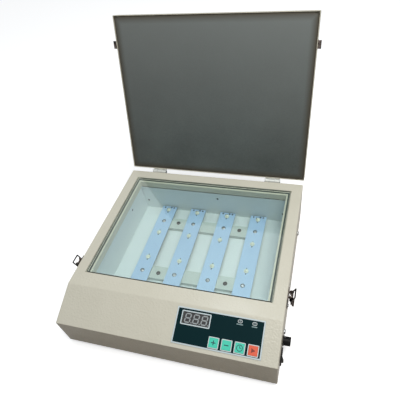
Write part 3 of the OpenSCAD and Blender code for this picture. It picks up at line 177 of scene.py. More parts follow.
def socket_group(name, ins, outs):
    """An empty node group with these inputs (name: (type, value)) and outputs (name: type)."""
    tree = bpy.data.node_groups.new(name, "ShaderNodeTree")
    for key, (kind, value) in ins.items():
        sock = tree.interface.new_socket(key, in_out="INPUT", socket_type=kind)
        if value is not None:
            sock.default_value = value
    for key, kind in outs.items():
        tree.interface.new_socket(key, in_out="OUTPUT", socket_type=kind)
    return tree, tree.nodes.new("NodeGroupInput"), tree.nodes.new("NodeGroupOutput")


# %% Mottle: two sizes of noise mixed into one value
def make_mottle():
    """A broad noise mixed with a fine one by Fine Share, then spread about 0.5 by Contrast."""
    tree, ins, outs = socket_group(
        "mottle",
        {"Vector": ("NodeSocketVector", None), "Scale": ("NodeSocketFloat", 40.0),
         "Fine Scale": ("NodeSocketFloat", 600.0), "Fine Share": ("NodeSocketFloat", 0.5),
         "Contrast": ("NodeSocketFloat", 1.6)},
        {"Value": "NodeSocketFloat"},
    )
    link = tree.links.new
    broad = add(tree, "ShaderNodeTexNoise", {"Detail": 3.0, "Roughness": 0.55})
    fine = add(tree, "ShaderNodeTexNoise", {"Detail": 2.0, "Roughness": 0.6})
    mix = add(tree, "ShaderNodeMix", data_type="FLOAT")
    centred = add(tree, "ShaderNodeMath", {1: 0.5}, operation="SUBTRACT")
    spread = add(tree, "ShaderNodeMath", operation="MULTIPLY")
    back = add(tree, "ShaderNodeMath", {1: 0.5}, operation="ADD", use_clamp=True)
    link(ins.outputs["Vector"], broad.inputs["Vector"])
    link(ins.outputs["Vector"], fine.inputs["Vector"])
    link(ins.outputs["Scale"], broad.inputs["Scale"])
    link(ins.outputs["Fine Scale"], fine.inputs["Scale"])
    link(ins.outputs["Fine Share"], mix.inputs["Factor"])
    link(broad.outputs["Fac"], mix.inputs["A"])
    link(fine.outputs["Fac"], mix.inputs["B"])
    link(mix.outputs["Result"], centred.inputs[0])
    link(centred.outputs[0], spread.inputs[0])
    link(ins.outputs["Contrast"], spread.inputs[1])
    link(spread.outputs[0], back.inputs[0])
    link(back.outputs[0], outs.inputs["Value"])
    return tree


# %% Pebble: the tiny hammered bumps of a powder coat or a moulded face
def make_pebble():
    """A normal bent by the slope of cells mixed with noise, and the bumps' height as a value."""
    tree, ins, outs = socket_group(
        "pebble",
        {"Vector": ("NodeSocketVector", None), "Scale": ("NodeSocketFloat", 700.0),
         "Depth": ("NodeSocketFloat", 0.0001), "Strength": ("NodeSocketFloat", 0.4)},
        {"Normal": "NodeSocketVector", "Height": "NodeSocketFloat"},
    )
    link = tree.links.new
    cells = add(tree, "ShaderNodeTexVoronoi", {"Randomness": 1.0}, feature="SMOOTH_F1")
    noise = add(tree, "ShaderNodeTexNoise", {"Detail": 2.0})
    mix = add(tree, "ShaderNodeMix", {"Factor": 0.5}, data_type="FLOAT")
    bump = add(tree, "ShaderNodeBump")
    for source in (cells, noise):
        link(ins.outputs["Vector"], source.inputs["Vector"])
        link(ins.outputs["Scale"], source.inputs["Scale"])
    link(cells.outputs["Distance"], mix.inputs["A"])
    link(noise.outputs["Fac"], mix.inputs["B"])
    link(mix.outputs["Result"], bump.inputs["Height"])
    link(ins.outputs["Depth"], bump.inputs["Distance"])
    link(ins.outputs["Strength"], bump.inputs["Strength"])
    link(bump.outputs["Normal"], outs.inputs["Normal"])
    link(mix.outputs["Result"], outs.inputs["Height"])
    return tree


MOTTLE = make_mottle()
PEBBLE = make_pebble()
print("groups", MOTTLE.name, PEBBLE.name)


# %% One recipe for painted, moulded and plated finishes
def finish(name, dark, light, rough=(0.4, 0.5), metallic=0.0, mottle=(40, 600, 0.5, 1.6),
           pebble=(700, 0.0001, 0.3), coat=0.0, coat_rough=0.1, specular=0.5, edge=None):
    """Colour and roughness follow the mottle; edge is a height and the colour of all below it."""
    mat = bpy.data.materials.new(name)
    mat.use_nodes = True
    tree = mat.node_tree
    shader = tree.nodes["Principled BSDF"]
    coords = add(tree, "ShaderNodeTexCoord")
    cloud = add(tree, "ShaderNodeGroup", node_tree=MOTTLE)
    for key, value in zip(("Scale", "Fine Scale", "Fine Share", "Contrast"), mottle):
        cloud.inputs[key].default_value = value
    skin = add(tree, "ShaderNodeGroup", node_tree=PEBBLE)
    for key, value in zip(("Scale", "Depth", "Strength"), pebble):
        skin.inputs[key].default_value = value
    tint = add(tree, "ShaderNodeMix", data_type="RGBA")
    tint.inputs["A"].default_value = dark
    tint.inputs["B"].default_value = light
    span = add(tree, "ShaderNodeMapRange", {"To Min": rough[0], "To Max": rough[1]})
    link = tree.links.new
    link(coords.outputs["Object"], cloud.inputs["Vector"])
    link(coords.outputs["Object"], skin.inputs["Vector"])
    link(cloud.outputs["Value"], tint.inputs["Factor"])
    link(cloud.outputs["Value"], span.inputs["Value"])
    link(tint.outputs["Result"], shader.inputs["Base Color"])
    if edge:
        height = add(tree, "ShaderNodeSeparateXYZ")
        above = add(tree, "ShaderNodeMath", {1: edge[0]}, operation="GREATER_THAN")
        side = add(tree, "ShaderNodeMix", data_type="RGBA")
        side.inputs["A"].default_value = edge[1]
        link(coords.outputs["Object"], height.inputs["Vector"])
        link(height.outputs["Z"], above.inputs[0])
        link(above.outputs["Value"], side.inputs["Factor"])
        link(tint.outputs["Result"], side.inputs["B"])
        link(side.outputs["Result"], shader.inputs["Base Color"])
    link(span.outputs["Result"], shader.inputs["Roughness"])
    link(skin.outputs["Normal"], shader.inputs["Normal"])
    shader.inputs["Metallic"].default_value = metallic
    shader.inputs["Coat Weight"].default_value = coat
    shader.inputs["Coat Roughness"].default_value = coat_rough
    shader.inputs["Specular IOR Level"].default_value = specular
    return mat


# %% [markdown]
# ## The finishes
#
# The cabinet is powder coated in a warm cream with a fine hammered skin. Inside, the tray is a
# cool white, the boards a pale blue over a dark edge, and the rails a grey primer. Fasteners and
# latches are plated. A finish is two colours, a range of roughness and the scale of its grain,
# so one recipe serves them all.

# %% The material of every slot
METAL_GRAIN = (60, 900, 0.6, 1.4)
METAL = {"metallic": 1.0, "mottle": METAL_GRAIN}
KEY = {"mottle": (120, 1500, 0.5, 1.4), "pebble": (2200, 0.00004, 0.3)}
# The boards' pale print is a thin layer on their top, and below it shows the dark laminate
BOARD_T = 1.6
PRINT_DEPTH = 0.2
# The dark edge is partly the laminate's own colour and partly painted shade, for the shade along and under the
# boards' sides
BOARD_EDGE_AND_SHADE = (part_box("led_board_1")[0][2] + (BOARD_T - PRINT_DEPTH) * MM, linear(70, 96, 98))
finishes = {
    "cream_paint": finish("cream_paint", linear(208, 204, 187), linear(220, 216, 200), (0.2, 0.3),
                          mottle=(25, 500, 0.35, 1.2), pebble=(380, 0.0007, 0.8),
                          coat=0.1, specular=0.35),
    "plain_steel": finish("plain_steel", linear(165, 165, 160), linear(188, 188, 184), (0.35, 0.5),
                          **METAL),
    "zinc": finish("zinc", linear(150, 153, 156), linear(196, 199, 200), (0.25, 0.4), **METAL),
    "dark_zinc": finish("dark_zinc", linear(46, 48, 46), linear(70, 70, 66), (0.3, 0.5), metallic=0.5,
                        mottle=METAL_GRAIN),
    "foot_rubber": finish("foot_rubber", linear(26, 26, 26), linear(44, 44, 43), (0.75, 0.9)),
    "seal_rubber": finish("seal_rubber", linear(60, 68, 66), linear(82, 90, 88), (0.7, 0.85)),
    "white_paint": finish("white_paint", linear(218, 227, 229), linear(230, 237, 239), (0.3, 0.42),
                          mottle=(18, 400, 0.3, 1.1), pebble=(900, 0.00006, 0.25)),
    "rail_steel": finish("rail_steel", linear(186, 196, 192), linear(202, 211, 207), (0.35, 0.5)),
    "brass_posts": finish("brass_posts", linear(190, 160, 92), linear(216, 188, 120), (0.25, 0.4),
                          **METAL),
    "board_laminate": finish("board_laminate", linear(168, 198, 232), linear(184, 211, 240),
                             (0.3, 0.42), mottle=(30, 700, 0.3, 1.1), pebble=(1500, 0.00004, 0.2),
                             edge=BOARD_EDGE_AND_SHADE),
    "overlay_film": finish("overlay_film", linear(8, 36, 40), linear(12, 43, 47), (0.45, 0.55),
                           mottle=(30, 1500, 0.5, 1.2), pebble=(2500, 0.00003, 0.3), specular=0.05),
    "display_plastic": finish("display_plastic", linear(38, 38, 40), linear(52, 52, 54), (0.3, 0.4)),
    "segment_plastic": finish("segment_plastic", linear(150, 156, 158), linear(172, 178, 180),
                              (0.45, 0.6)),
    "green_laminate": finish("green_laminate", linear(30, 92, 56), linear(42, 112, 70), (0.3, 0.4)),
    "component_plastic": finish("component_plastic", linear(28, 28, 30), linear(44, 44, 46),
                                (0.45, 0.6)),
    "turquoise_key": finish("turquoise_key", linear(62, 204, 176), linear(78, 218, 190), (0.35, 0.5),
                            **KEY),
    "orange_key": finish("orange_key", linear(226, 88, 58), linear(240, 108, 76), (0.35, 0.5),
                         **KEY),
    "lamp_plastic": finish("lamp_plastic", linear(92, 108, 112), linear(128, 142, 146), (0.3, 0.45)),
    "black_plastic": finish("black_plastic", linear(12, 12, 13), linear(24, 24, 25), (0.3, 0.42),
                            pebble=(1800, 0.00005, 0.35), specular=0.15),
    "fuse_metal": finish("fuse_metal", linear(180, 184, 186), linear(206, 209, 210), (0.15, 0.3),
                         **METAL),
    "driver_case": finish("driver_case", linear(170, 174, 176), linear(196, 199, 200), (0.35, 0.5),
                          **METAL),
    "wire_cover": finish("wire_cover", linear(120, 62, 38), linear(142, 78, 50), (0.4, 0.5)),
    # Painted reflection: the chrome's dark reflections are painted in as a near black base and a strong mottle
    "latch_steel": finish("latch_steel", linear(14, 12, 12), linear(120, 110, 104), (0.12, 0.28),
                          metallic=1.0, mottle=(160, 420, 0.4, 5.5)),
    "hinge_steel": finish("hinge_steel", linear(206, 208, 202), linear(226, 228, 223), (0.3, 0.45),
                          metallic=0.3),
}
print("finishes", len(finishes))


# %% [markdown]
# ## Emitters
#
# Each emitter is a clear dome over a cream body, on two flat leads. They are one solid in the
# frame, so the shader tells them apart by height: what lies within the leads' thickness above
# the board is tinned metal, and the rest is resin.

# %% The emitters' finish
LEAD_T = 0.45
LEAD_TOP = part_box("led_emitters")[0][2] + LEAD_T * MM


def make_emitter():
    """Cream resin, or dark tin where the object's z is under the leads' top face."""
    mat = bpy.data.materials.new("emitter_resin")
    mat.use_nodes = True
    tree = mat.node_tree
    shader = tree.nodes["Principled BSDF"]
    coords = add(tree, "ShaderNodeTexCoord")
    axes = add(tree, "ShaderNodeSeparateXYZ")
    low = add(tree, "ShaderNodeMath", {1: LEAD_TOP}, operation="LESS_THAN")
    cloud = add(tree, "ShaderNodeGroup", {"Scale": 120.0, "Fine Scale": 900.0}, node_tree=MOTTLE)
    resin = add(tree, "ShaderNodeMix", data_type="RGBA")
    resin.inputs["A"].default_value = linear(222, 226, 204)
    resin.inputs["B"].default_value = linear(246, 247, 232)
    tint = add(tree, "ShaderNodeMix", data_type="RGBA")
    tint.inputs["B"].default_value = linear(62, 74, 86)
    link = tree.links.new
    link(coords.outputs["Object"], axes.inputs[0])
    link(coords.outputs["Object"], cloud.inputs["Vector"])
    link(axes.outputs["Z"], low.inputs[0])
    link(cloud.outputs["Value"], resin.inputs["Factor"])
    link(low.outputs[0], tint.inputs["Factor"])
    link(resin.outputs["Result"], tint.inputs["A"])
    link(tint.outputs["Result"], shader.inputs["Base Color"])
    shader.inputs["Roughness"].default_value = 0.2
    shader.inputs["Coat Weight"].default_value = 0.5
    return mat


finishes["emitter_resin"] = make_emitter()
print("leads end at z", round(LEAD_TOP, 5))

# %% [markdown]
# ## Glass
#
# Float glass is clear, with a faint green tint. Light has to get through it to the boards, so
# the shader lets shadow and diffuse rays pass, which keeps the light box as bright as it is.

# %% The two glasses
def make_glass(name, tint, rough):
    """A clear dielectric that shadow and diffuse rays pass straight through, dimmed by the tint."""
    mat = bpy.data.materials.new(name)
    mat.use_nodes = True
    tree = mat.node_tree
    shader = tree.nodes["Principled BSDF"]
    shader.inputs["Base Color"].default_value = tint
    shader.inputs["Transmission Weight"].default_value = 1.0
    shader.inputs["IOR"].default_value = 1.5
    coords = add(tree, "ShaderNodeTexCoord")
    cloud = add(tree, "ShaderNodeGroup", {"Scale": 30.0, "Fine Scale": 200.0, "Fine Share": 0.3},
                node_tree=MOTTLE)
    span = add(tree, "ShaderNodeMapRange", {"To Min": rough[0], "To Max": rough[1]})
    clear = add(tree, "ShaderNodeBsdfTransparent", {"Color": tint})
    rays = add(tree, "ShaderNodeLightPath")
    passing = add(tree, "ShaderNodeMath", operation="MAXIMUM")
    mix = add(tree, "ShaderNodeMixShader")
    link = tree.links.new
    link(coords.outputs["Object"], cloud.inputs["Vector"])
    link(cloud.outputs["Value"], span.inputs["Value"])
    link(span.outputs["Result"], shader.inputs["Roughness"])
    link(rays.outputs["Is Shadow Ray"], passing.inputs[0])
    link(rays.outputs["Is Diffuse Ray"], passing.inputs[1])
    link(passing.outputs[0], mix.inputs["Fac"])
    link(shader.outputs["BSDF"], mix.inputs[1])
    link(clear.outputs["BSDF"], mix.inputs[2])
    link(mix.outputs["Shader"], tree.nodes["Material Output"].inputs["Surface"])
    return mat


finishes["bed_glass"] = make_glass("bed_glass", linear(246, 252, 250), (0.0, 0.02))
finishes["fuse_glass"] = make_glass("fuse_glass", linear(245, 250, 248), (0.0, 0.03))
print("finishes with the glasses", len(finishes))


# %% [markdown]
# ## Pieces from mesh data
#
# A new piece is a grid of points worked out in one go, and its faces join neighbours on that
# grid. The grid may be closed round one way, as a tube is, round both, as a frame is, or neither.


def wear(obj, look, body):
    """The piece takes that finish and rides on that body."""
    obj.data.materials.clear()
    obj.data.materials.append(finishes[look])
    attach(obj, body)
    return obj


def mesh_piece(name, points, faces, look, body, smooth=True):
    """An object whose mesh has these points and faces, in the frame's metres."""
    mesh = bpy.data.meshes.new(name)
    mesh.from_pydata(np.asarray(points).reshape(-1, 3).tolist(), [], faces)
    mesh.polygons.foreach_set("use_smooth", np.full(len(mesh.polygons), smooth))
    mesh.update()
    obj = bpy.data.objects.new(name, mesh)
    bpy.context.scene.collection.objects.link(obj)
    return wear(obj, look, body)


def grid_faces(rows, cols, wrap_rows=False, wrap_cols=False, start=0):
    """Quads between neighbours on a rows by cols grid, closed round either way if asked."""
    row = np.arange(rows if wrap_rows else rows - 1)[:, None]
    col = np.arange(cols if wrap_cols else cols - 1)[None, :]
    below, right = (row + 1) % rows, (col + 1) % cols
    quads = [row * cols + col, row * cols + right, below * cols + right, below * cols + col]
    return (np.stack(quads, -1).reshape(-1, 4) + start).tolist()


# %% [markdown]
# ## Rounded copies of the hard pieces
#
# Real sheet is folded round a die and real castings have no knife edges, and it is the thin
# line of light along such an edge that makes metal look like metal. The CAD solids are exact,
# so a copy of each is merged, cleaned of its loose triangles and given a small bevel.

# %% A rounded copy
# Points closer than the first value are one, faces within the second angle are one flat face, and
# an edge that turns by more than the third is sharp
DOUBLES = 2e-6
FLAT_DEG = 0.6
SHARP_DEG = 30


def merged_copy(node):
    """A copy of a CAD node's mesh, with its doubles merged and its flat faces joined."""
    work = bmesh.new()
    work.from_mesh(nodes[node].data)
    bmesh.ops.remove_doubles(work, verts=work.verts, dist=DOUBLES)
    flat = math.radians(FLAT_DEG)
    bmesh.ops.dissolve_limit(work, angle_limit=flat, verts=work.verts, edges=work.edges)
    mesh = bpy.data.meshes.new(node + "_round")
    work.to_mesh(mesh)
    work.free()
    obj = bpy.data.objects.new(node + "_round", mesh)
    bpy.context.scene.collection.objects.link(obj)
    return obj


def rounded(node, radius, steps=2, weights=None):
    """A copy stands for the node: its sharp edges, or the weighted ones, get the radius, in mm."""
    obj = merged_copy(node)
    bevel = obj.modifiers.new("edge", "BEVEL")
    bevel.width = radius * MM
    bevel.segments = steps
    bevel.use_clamp_overlap = True
    bevel.harden_normals = False
    if weights is None:
        bevel.limit_method = "ANGLE"
        bevel.angle_limit = math.radians(SHARP_DEG)
    else:
        bevel.limit_method = "WEIGHT"
        mesh = obj.data
        ends = np.empty(len(mesh.edges) * 2, np.int32)
        mesh.edges.foreach_get("vertices", ends)
        points = np.empty(len(mesh.vertices) * 3)
        mesh.vertices.foreach_get("co", points)
        values = weights(points.reshape(-1, 3), ends.reshape(-1, 2))
        layer = mesh.attributes.new("bevel_weight_edge", "FLOAT", "EDGE")
        layer.data.foreach_set("value", values.astype(np.float32))
    obj.data.polygons.foreach_set("use_smooth", np.full(len(obj.data.polygons), False))
    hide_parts(node)
    return wear(obj, slot_of[node], body_of[node])


# A point this near a plane, in metres, lies on it
ON_PLANE = 2e-5


def fold_weights(planes):
    """1 on each edge whose two ends both lie on the same two outer planes, as (point, normal)."""
    def weigh(points, ends):
        on = np.stack([np.abs((points - at) @ normal) < ON_PLANE for at, normal in planes], 1)
        return (on[ends[:, 0]] & on[ends[:, 1]]).sum(1) >= 2
    return weigh


# %% The cabinet's folds
def plane_yz(point, angle):
    """A plane along X through a drawing point, its normal at that angle above +Y."""
    return place(point), np.array([0, math.cos(angle), math.sin(angle)])


def side_planes(half_width):
    """The two planes across X at that distance to either side, in metres."""
    return [(np.array([way * half_width, 0, 0]), np.array([way, 0, 0])) for way in (-1, 1)]


cabinet_planes = side_planes(HALF_W * MM) + [
    plane_yz([0, 0, 0], math.pi),
    plane_yz([0, 0, FRONT_H], math.pi / 2 + SLOPE),
    plane_yz([0, CABINET_D, TOP_H], math.pi / 2),
    plane_yz([0, CABINET_D, 0], 0),
]
rounded("cabinet_shell", 1.6, steps=4, weights=fold_weights(cabinet_planes))
print("cabinet planes", len(cabinet_planes))

# %% The lid's folds
lid_pts = np.array([v.co for v in nodes["lid_shell"].data.vertices])
lid_cos, lid_sin = math.cos(LID_OPEN), math.sin(LID_OPEN)
from_pin = lid_pts - HINGE
shut_y = from_pin[:, 1] * lid_cos - from_pin[:, 2] * lid_sin
shut_z = from_pin[:, 1] * lid_sin + from_pin[:, 2] * lid_cos
lid_half = lid_pts[:, 0].max()


def lid_plane(y, z, normal):
    """A plane of the shut lid, given from the hinge in metres, turned open with it."""
    turn = np.array([[1, 0, 0], [0, lid_cos, lid_sin], [0, -lid_sin, lid_cos]])
    return HINGE + turn @ np.array([0, y, z]), turn @ np.array(normal, float)


lid_planes = side_planes(lid_half) + [
    lid_plane(shut_y.min(), 0, [0, -1, 0]),
    lid_plane(shut_y.max(), 0, [0, 1, 0]),
    lid_plane(0, shut_z.max(), [0, 0, 1]),
]
rounded("lid_shell", 1.4, steps=4, weights=fold_weights(lid_planes))
LID_Y = (np.array([shut_y.min(), shut_y.max()]) + HINGE[1] - FRONT_Y) / MM
LID_Z = (np.array([shut_z.min(), shut_z.max()]) + HINGE[2] - BASE_Z) / MM
print("lid shut, y", np.round(LID_Y, 2), "z", np.round(LID_Z, 2))

# %% The small hard pieces
EDGE_RADII = {
    "glass_plate": 0.5, "key_plus": 0.35, "key_minus": 0.35, "key_timer": 0.35, "key_start": 0.35,
    "rocker_housing": 0.5, "rocker": 0.5, "fuse_cap": 0.4, "fuse_holder": 0.35, "mains_inlet": 0.6,
    "feet": 0.8, "latch_bases": 0.3, "latch_lever_left": 0.4, "latch_lever_right": 0.4,
    "lid_strikes": 0.25, "hinge_leaves_cabinet": 0.3, "hinge_leaves_lid": 0.3, "led_driver": 0.8,
    "rail_front": 0.5, "rail_rear": 0.5, "glass_frame": 0.3,
}
for name, radius in EDGE_RADII.items():
    rounded(name, radius)
print("rounded", len(EDGE_RADII) + 2)

# %% [markdown]
# ## The foam
#
# A slab of open-cell foam is glued into the lid. Its face is flat in the middle and falls back
# over the last finger's width towards the rim, as cut and glued foam does, so its edges catch
# less light. The face is a function of x and y, with a slow waviness on top.

# %% The foam's form
# In mm: the gap to the lid's sides, the rolled edge's width and fall, and the waves' height
FOAM_GAP = 1.4
FOAM_ROLL = 12.0
FOAM_DIP = 1.8
FOAM_WAVE = 0.14
# The shut lid's foam is this far above the cabinet's top, and its back this far below the lid's
FOAM_CLEAR = 0.3
LID_SKIN = 1.2
FOAM_FACE_Z = TOP_H + FOAM_CLEAR
foam_x = lid_half / MM - FOAM_GAP
foam_y0, foam_y1 = LID_Y[0] + FOAM_GAP, LID_Y[1] - FOAM_GAP
foam_top = LID_Z[1] - LID_SKIN
# How much of the cosine steps is in the grid's spacing
CLOSE_SHARE = 0.65
# The waves' lengths over two pi across, along, and for the bend that keeps them from being straight
WAVE_ACROSS, WAVE_ALONG, WAVE_BEND = 31, 38, 47


def eased(start, end, count):
    """Samples from start to end: even steps blended with cosine ones, closer at both ends."""
    t = np.linspace(0, 1, count)
    even = start + (end - start) * t
    close = start + (end - start) * (0.5 - 0.5 * np.cos(math.pi * t))
    return (1 - CLOSE_SHARE) * even + CLOSE_SHARE * close


def foam_face(x, y):
    """How far the face has fallen back, and 0 to 1 towards the edge.

    The fall is a quarter ellipse over the last FOAM_ROLL mm to each side, plus slow waves inside.
    """
    from_side = np.clip((foam_x - np.abs(x)) / FOAM_ROLL, 0, 1)
    from_end = np.clip(np.minimum(y - foam_y0, foam_y1 - y) / FOAM_ROLL, 0, 1)
    flat = np.clip(1 - (1 - from_side) ** 2 - (1 - from_end) ** 2, 0, 1)
    bend = 0.7 * np.sin(y / WAVE_BEND)
    wave = np.sin(x / WAVE_ACROSS + bend) * np.sin(y / WAVE_ALONG + 1.1)
    fall = FOAM_DIP * (1 - np.sqrt(flat)) + FOAM_WAVE * (1 + wave) * from_side * from_end
    return fall, 1 - np.minimum(from_side, from_end)


def round_the_edge(grid):
    """The grid's outer samples in order, each once."""
    return np.concatenate([grid[0, :-1], grid[:-1, -1], grid[-1, :0:-1], grid[:0:-1, 0]])


# %% The foam's points
FOAM_COLS, FOAM_ROWS = 150, 122
WALL_RINGS = 6
WALL_PULL = 0.008
across, along = np.meshgrid(eased(-foam_x, foam_x, FOAM_COLS), eased(foam_y0, foam_y1, FOAM_ROWS))
fall, edge = foam_face(across, along)
face = np.stack([across, along, FOAM_FACE_Z + fall], -1)
# The walls run from the face's rim to the lid and pull in halfway, as a sine
rim = round_the_edge(face)
centre = np.array([0, (foam_y0 + foam_y1) / 2])
depth = np.linspace(0, 1, WALL_RINGS + 1)[1:, None, None]
wall_xy = (rim[:, :2] - centre) * (1 - WALL_PULL * np.sin(math.pi * depth)) + centre
wall_z = rim[:, 2:] * (1 - depth) + foam_top * depth
walls = np.concatenate([wall_xy, wall_z], -1)
foam_points = np.concatenate([face.reshape(-1, 3), walls.reshape(-1, 3), [[*centre, foam_top]]])

# %% The foam's faces
face_count, ring = FOAM_ROWS * FOAM_COLS, len(rim)
rim_index = round_the_edge(np.arange(face_count).reshape(FOAM_ROWS, FOAM_COLS))
wall_index = face_count + np.arange(WALL_RINGS * ring).reshape(-1, ring)
levels = np.concatenate([rim_index[None], wall_index])
here, there = levels[:-1], levels[1:]
wall_quads = np.stack([here, there, np.roll(there, -1, 1), np.roll(here, -1, 1)], -1).reshape(-1, 4)
last = levels[-1]
back_tris = np.stack([np.roll(last, -1), last, np.full(ring, len(foam_points) - 1)], 1)
foam_faces = (np.array(grid_faces(FOAM_ROWS, FOAM_COLS))[:, ::-1].tolist()
              + wall_quads.tolist() + back_tris.tolist())
print("foam faces", len(foam_faces))


# %% The foam's skin
def make_foam():
    """Speckled dark grey open-cell foam; painted light pales the free edge, painted shade browns the rolled rim.
    """
    mat = bpy.data.materials.new("grey_foam")
    mat.use_nodes = True
    tree = mat.node_tree
    shader = tree.nodes["Principled BSDF"]
    coords = add(tree, "ShaderNodeTexCoord")
    speckle = {"Scale": 14.0, "Fine Scale": 900.0, "Fine Share": 0.6, "Contrast": 2.4}
    cells = {"Scale": 1100.0, "Depth": 0.0005, "Strength": 0.7}
    cloud = add(tree, "ShaderNodeGroup", speckle, node_tree=MOTTLE)
    skin = add(tree, "ShaderNodeGroup", cells, node_tree=PEBBLE)
    tint = add(tree, "ShaderNodeMix", data_type="RGBA")
    tint.inputs["A"].default_value = linear(58, 65, 63)
    tint.inputs["B"].default_value = linear(95, 103, 101)
    # Painted light: the face pales towards the lid's free edge, where the light from above falls most
    lift_mask = add(tree, "ShaderNodeAttribute", attribute_name="lift")
    painted_light_mix = add(tree, "ShaderNodeMix", data_type="RGBA")
    painted_light_mix.inputs["B"].default_value = linear(132, 138, 137)
    # Painted shade: the rolled rim is browned and dimmed, as shade falls where the foam rolls back
    rim_mask = add(tree, "ShaderNodeAttribute", attribute_name="edge")
    power = add(tree, "ShaderNodeMath", {1: 1.15}, operation="POWER")
    darker = add(tree, "ShaderNodeMix", data_type="RGBA")
    darker.inputs["B"].default_value = linear(70, 62, 46)
    link = tree.links.new
    link(coords.outputs["Object"], cloud.inputs["Vector"])
    link(coords.outputs["Object"], skin.inputs["Vector"])
    link(cloud.outputs["Value"], tint.inputs["Factor"])
    link(rim_mask.outputs["Fac"], power.inputs[0])
    link(power.outputs[0], darker.inputs["Factor"])
    link(lift_mask.outputs["Fac"], painted_light_mix.inputs["Factor"])
    link(tint.outputs["Result"], painted_light_mix.inputs["A"])
    link(painted_light_mix.outputs["Result"], darker.inputs["A"])
    link(darker.outputs["Result"], shader.inputs["Base Color"])
    link(skin.outputs["Normal"], shader.inputs["Normal"])
    shader.inputs["Roughness"].default_value = 0.85
    shader.inputs["Sheen Weight"].default_value = 0.25
    shader.inputs["Sheen Roughness"].default_value = 0.5
    return mat


finishes["grey_foam"] = make_foam()

# %% The foam pad
foam = mesh_piece("foam_slab", on_lid(foam_points), foam_faces, "grey_foam", "lid")
# The painted light's share, which grows with the distance from the hinge
LIFT_POWER = 1.1
LIFT_MOST = 0.88
from_hinge = np.clip((foam_y1 - foam_points[:, 1]) / (foam_y1 - foam_y0), 0, 1)
masks = {
    "edge": np.concatenate([edge.ravel(), np.ones(len(foam_points) - edge.size)]),
    "lift": from_hinge ** LIFT_POWER * LIFT_MOST,
}
for name, values in masks.items():
    layer = foam.data.attributes.new(name, "FLOAT", "POINT")
    layer.data.foreach_set("value", values.astype(np.float32))
print("foam masks", {name: round(float(values.mean()), 3) for name, values in masks.items()})
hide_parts("foam_pad")


# %% [markdown]
# ## The printed panel
#
# The panel is a dark film with a pale border, a frame round the display, white frames round the
# keys and rings round the lamps. Prints are thin raised plates, so they also show in the mesh.
# A frame is a rounded rectangle swept round a small box section.

# %% Rounded rectangles
MIN_CORNER = 0.2


def round_rect(width, length, radius, count=8):
    """Points round a rectangle whose corners are quarter circles of that radius, count to each."""
    t = np.linspace(0, math.pi / 2, count)
    turns = np.arange(4)[:, None] * math.pi / 2 + t
    way_x, way_y = np.array([[1, -1, -1, 1], [1, 1, -1, -1]])[..., None]
    x = way_x * (width / 2 - radius) + radius * np.cos(turns)
    y = way_y * (length / 2 - radius) + radius * np.sin(turns)
    return np.stack([x, y], -1).reshape(-1, 2)


def at_height(outline, height):
    """A flat outline as points of (x, y, height)."""
    return np.c_[outline, np.full(len(outline), height)]


def print_frame(name, at, size, width, corner, heights, look, body, to=on_slope):
    """A flat frame: an outer and an inner rounded rectangle at two heights, joined into a ring."""
    low, high = heights
    outer = round_rect(size[0], size[1], corner) + at
    inner = round_rect(size[0] - 2 * width, size[1] - 2 * width, max(corner - width, MIN_CORNER)) + at
    loops = [(outer, low), (outer, high), (inner, high), (inner, low)]
    grid = np.stack([at_height(outline, height) for outline, height in loops])
    faces = np.array(grid_faces(*grid.shape[:2], wrap_rows=True, wrap_cols=True))[:, ::-1].tolist()
    return mesh_piece(name, to(grid), faces, look, body, smooth=False)


def print_shape(name, outline, heights, look, body, to=on_slope):
    """A flat plate whose outline runs anticlockwise, from the lower height to the upper."""
    low, high = heights
    count = len(outline)
    here = np.arange(count)
    there = (here + 1) % count
    sides = np.stack([here, there, there + count, here + count], 1).tolist()
    faces = [here[::-1].tolist(), (here + count).tolist()] + sides
    points = np.concatenate([at_height(outline, low), at_height(outline, high)])
    return mesh_piece(name, to(points), faces, look, body, smooth=False)


# %% Print colours
print_colours = {
    "pale_print": ((196, 210, 214), (212, 224, 228), 0.35),
    "white_print": ((214, 224, 224), (228, 236, 236), 0.35),
    "dim_print": ((122, 148, 150), (140, 164, 166), 0.35),
    "dark_print": ((12, 52, 62), (18, 60, 72), 0.4),
    "brown_print": ((120, 40, 28), (140, 52, 38), 0.4),
}
for name, (dark, light, smoothest) in print_colours.items():
    finishes[name] = finish(name, linear(*dark), linear(*light), (smoothest, 0.5))
print("print colours", len(print_colours))


# %% Frames and borders
# Places on the panel are (to the right, up the slope) from the film's lower left corner, in mm.
# A print starts a little below the face that it is on.
panel_corner = np.array([17.6, 6.0])
PANEL_SIZE = np.array([124.4, 50.0])
FILM_TOP = 0.8
PRINT_T = 0.06
SUNK = 0.02
film_heights = (FILM_TOP - SUNK, FILM_TOP + PRINT_T)
window_mid = panel_corner + [28.65, 36.05]
key_mids = [panel_corner + [58.9 + 18 * i, 10.0] for i in range(4)]
lamp_mids = [panel_corner + [90.2 + 20 * i, 43.9] for i in range(2)]
KEYS = ["key_plus", "key_minus", "key_timer", "key_start"]


def film_frame(name, at, size, width, corner, look):
    """A frame printed on the film."""
    print_frame(name, at, size, width, corner, film_heights, look, "cabinet")


panel_mid = panel_corner + PANEL_SIZE / 2
film_frame("panel_border", panel_mid, PANEL_SIZE, width=1.8, corner=0.6, look="pale_print")
film_frame("window_border", window_mid, (42.4, 19.4), width=1.5, corner=1.6, look="pale_print")
for name, mid in zip(KEYS, key_mids):
    film_frame(name + "_border", mid, (14.7, 14.9), width=1.0, corner=1.1, look="white_print")
print("frames", 2 + len(KEYS))

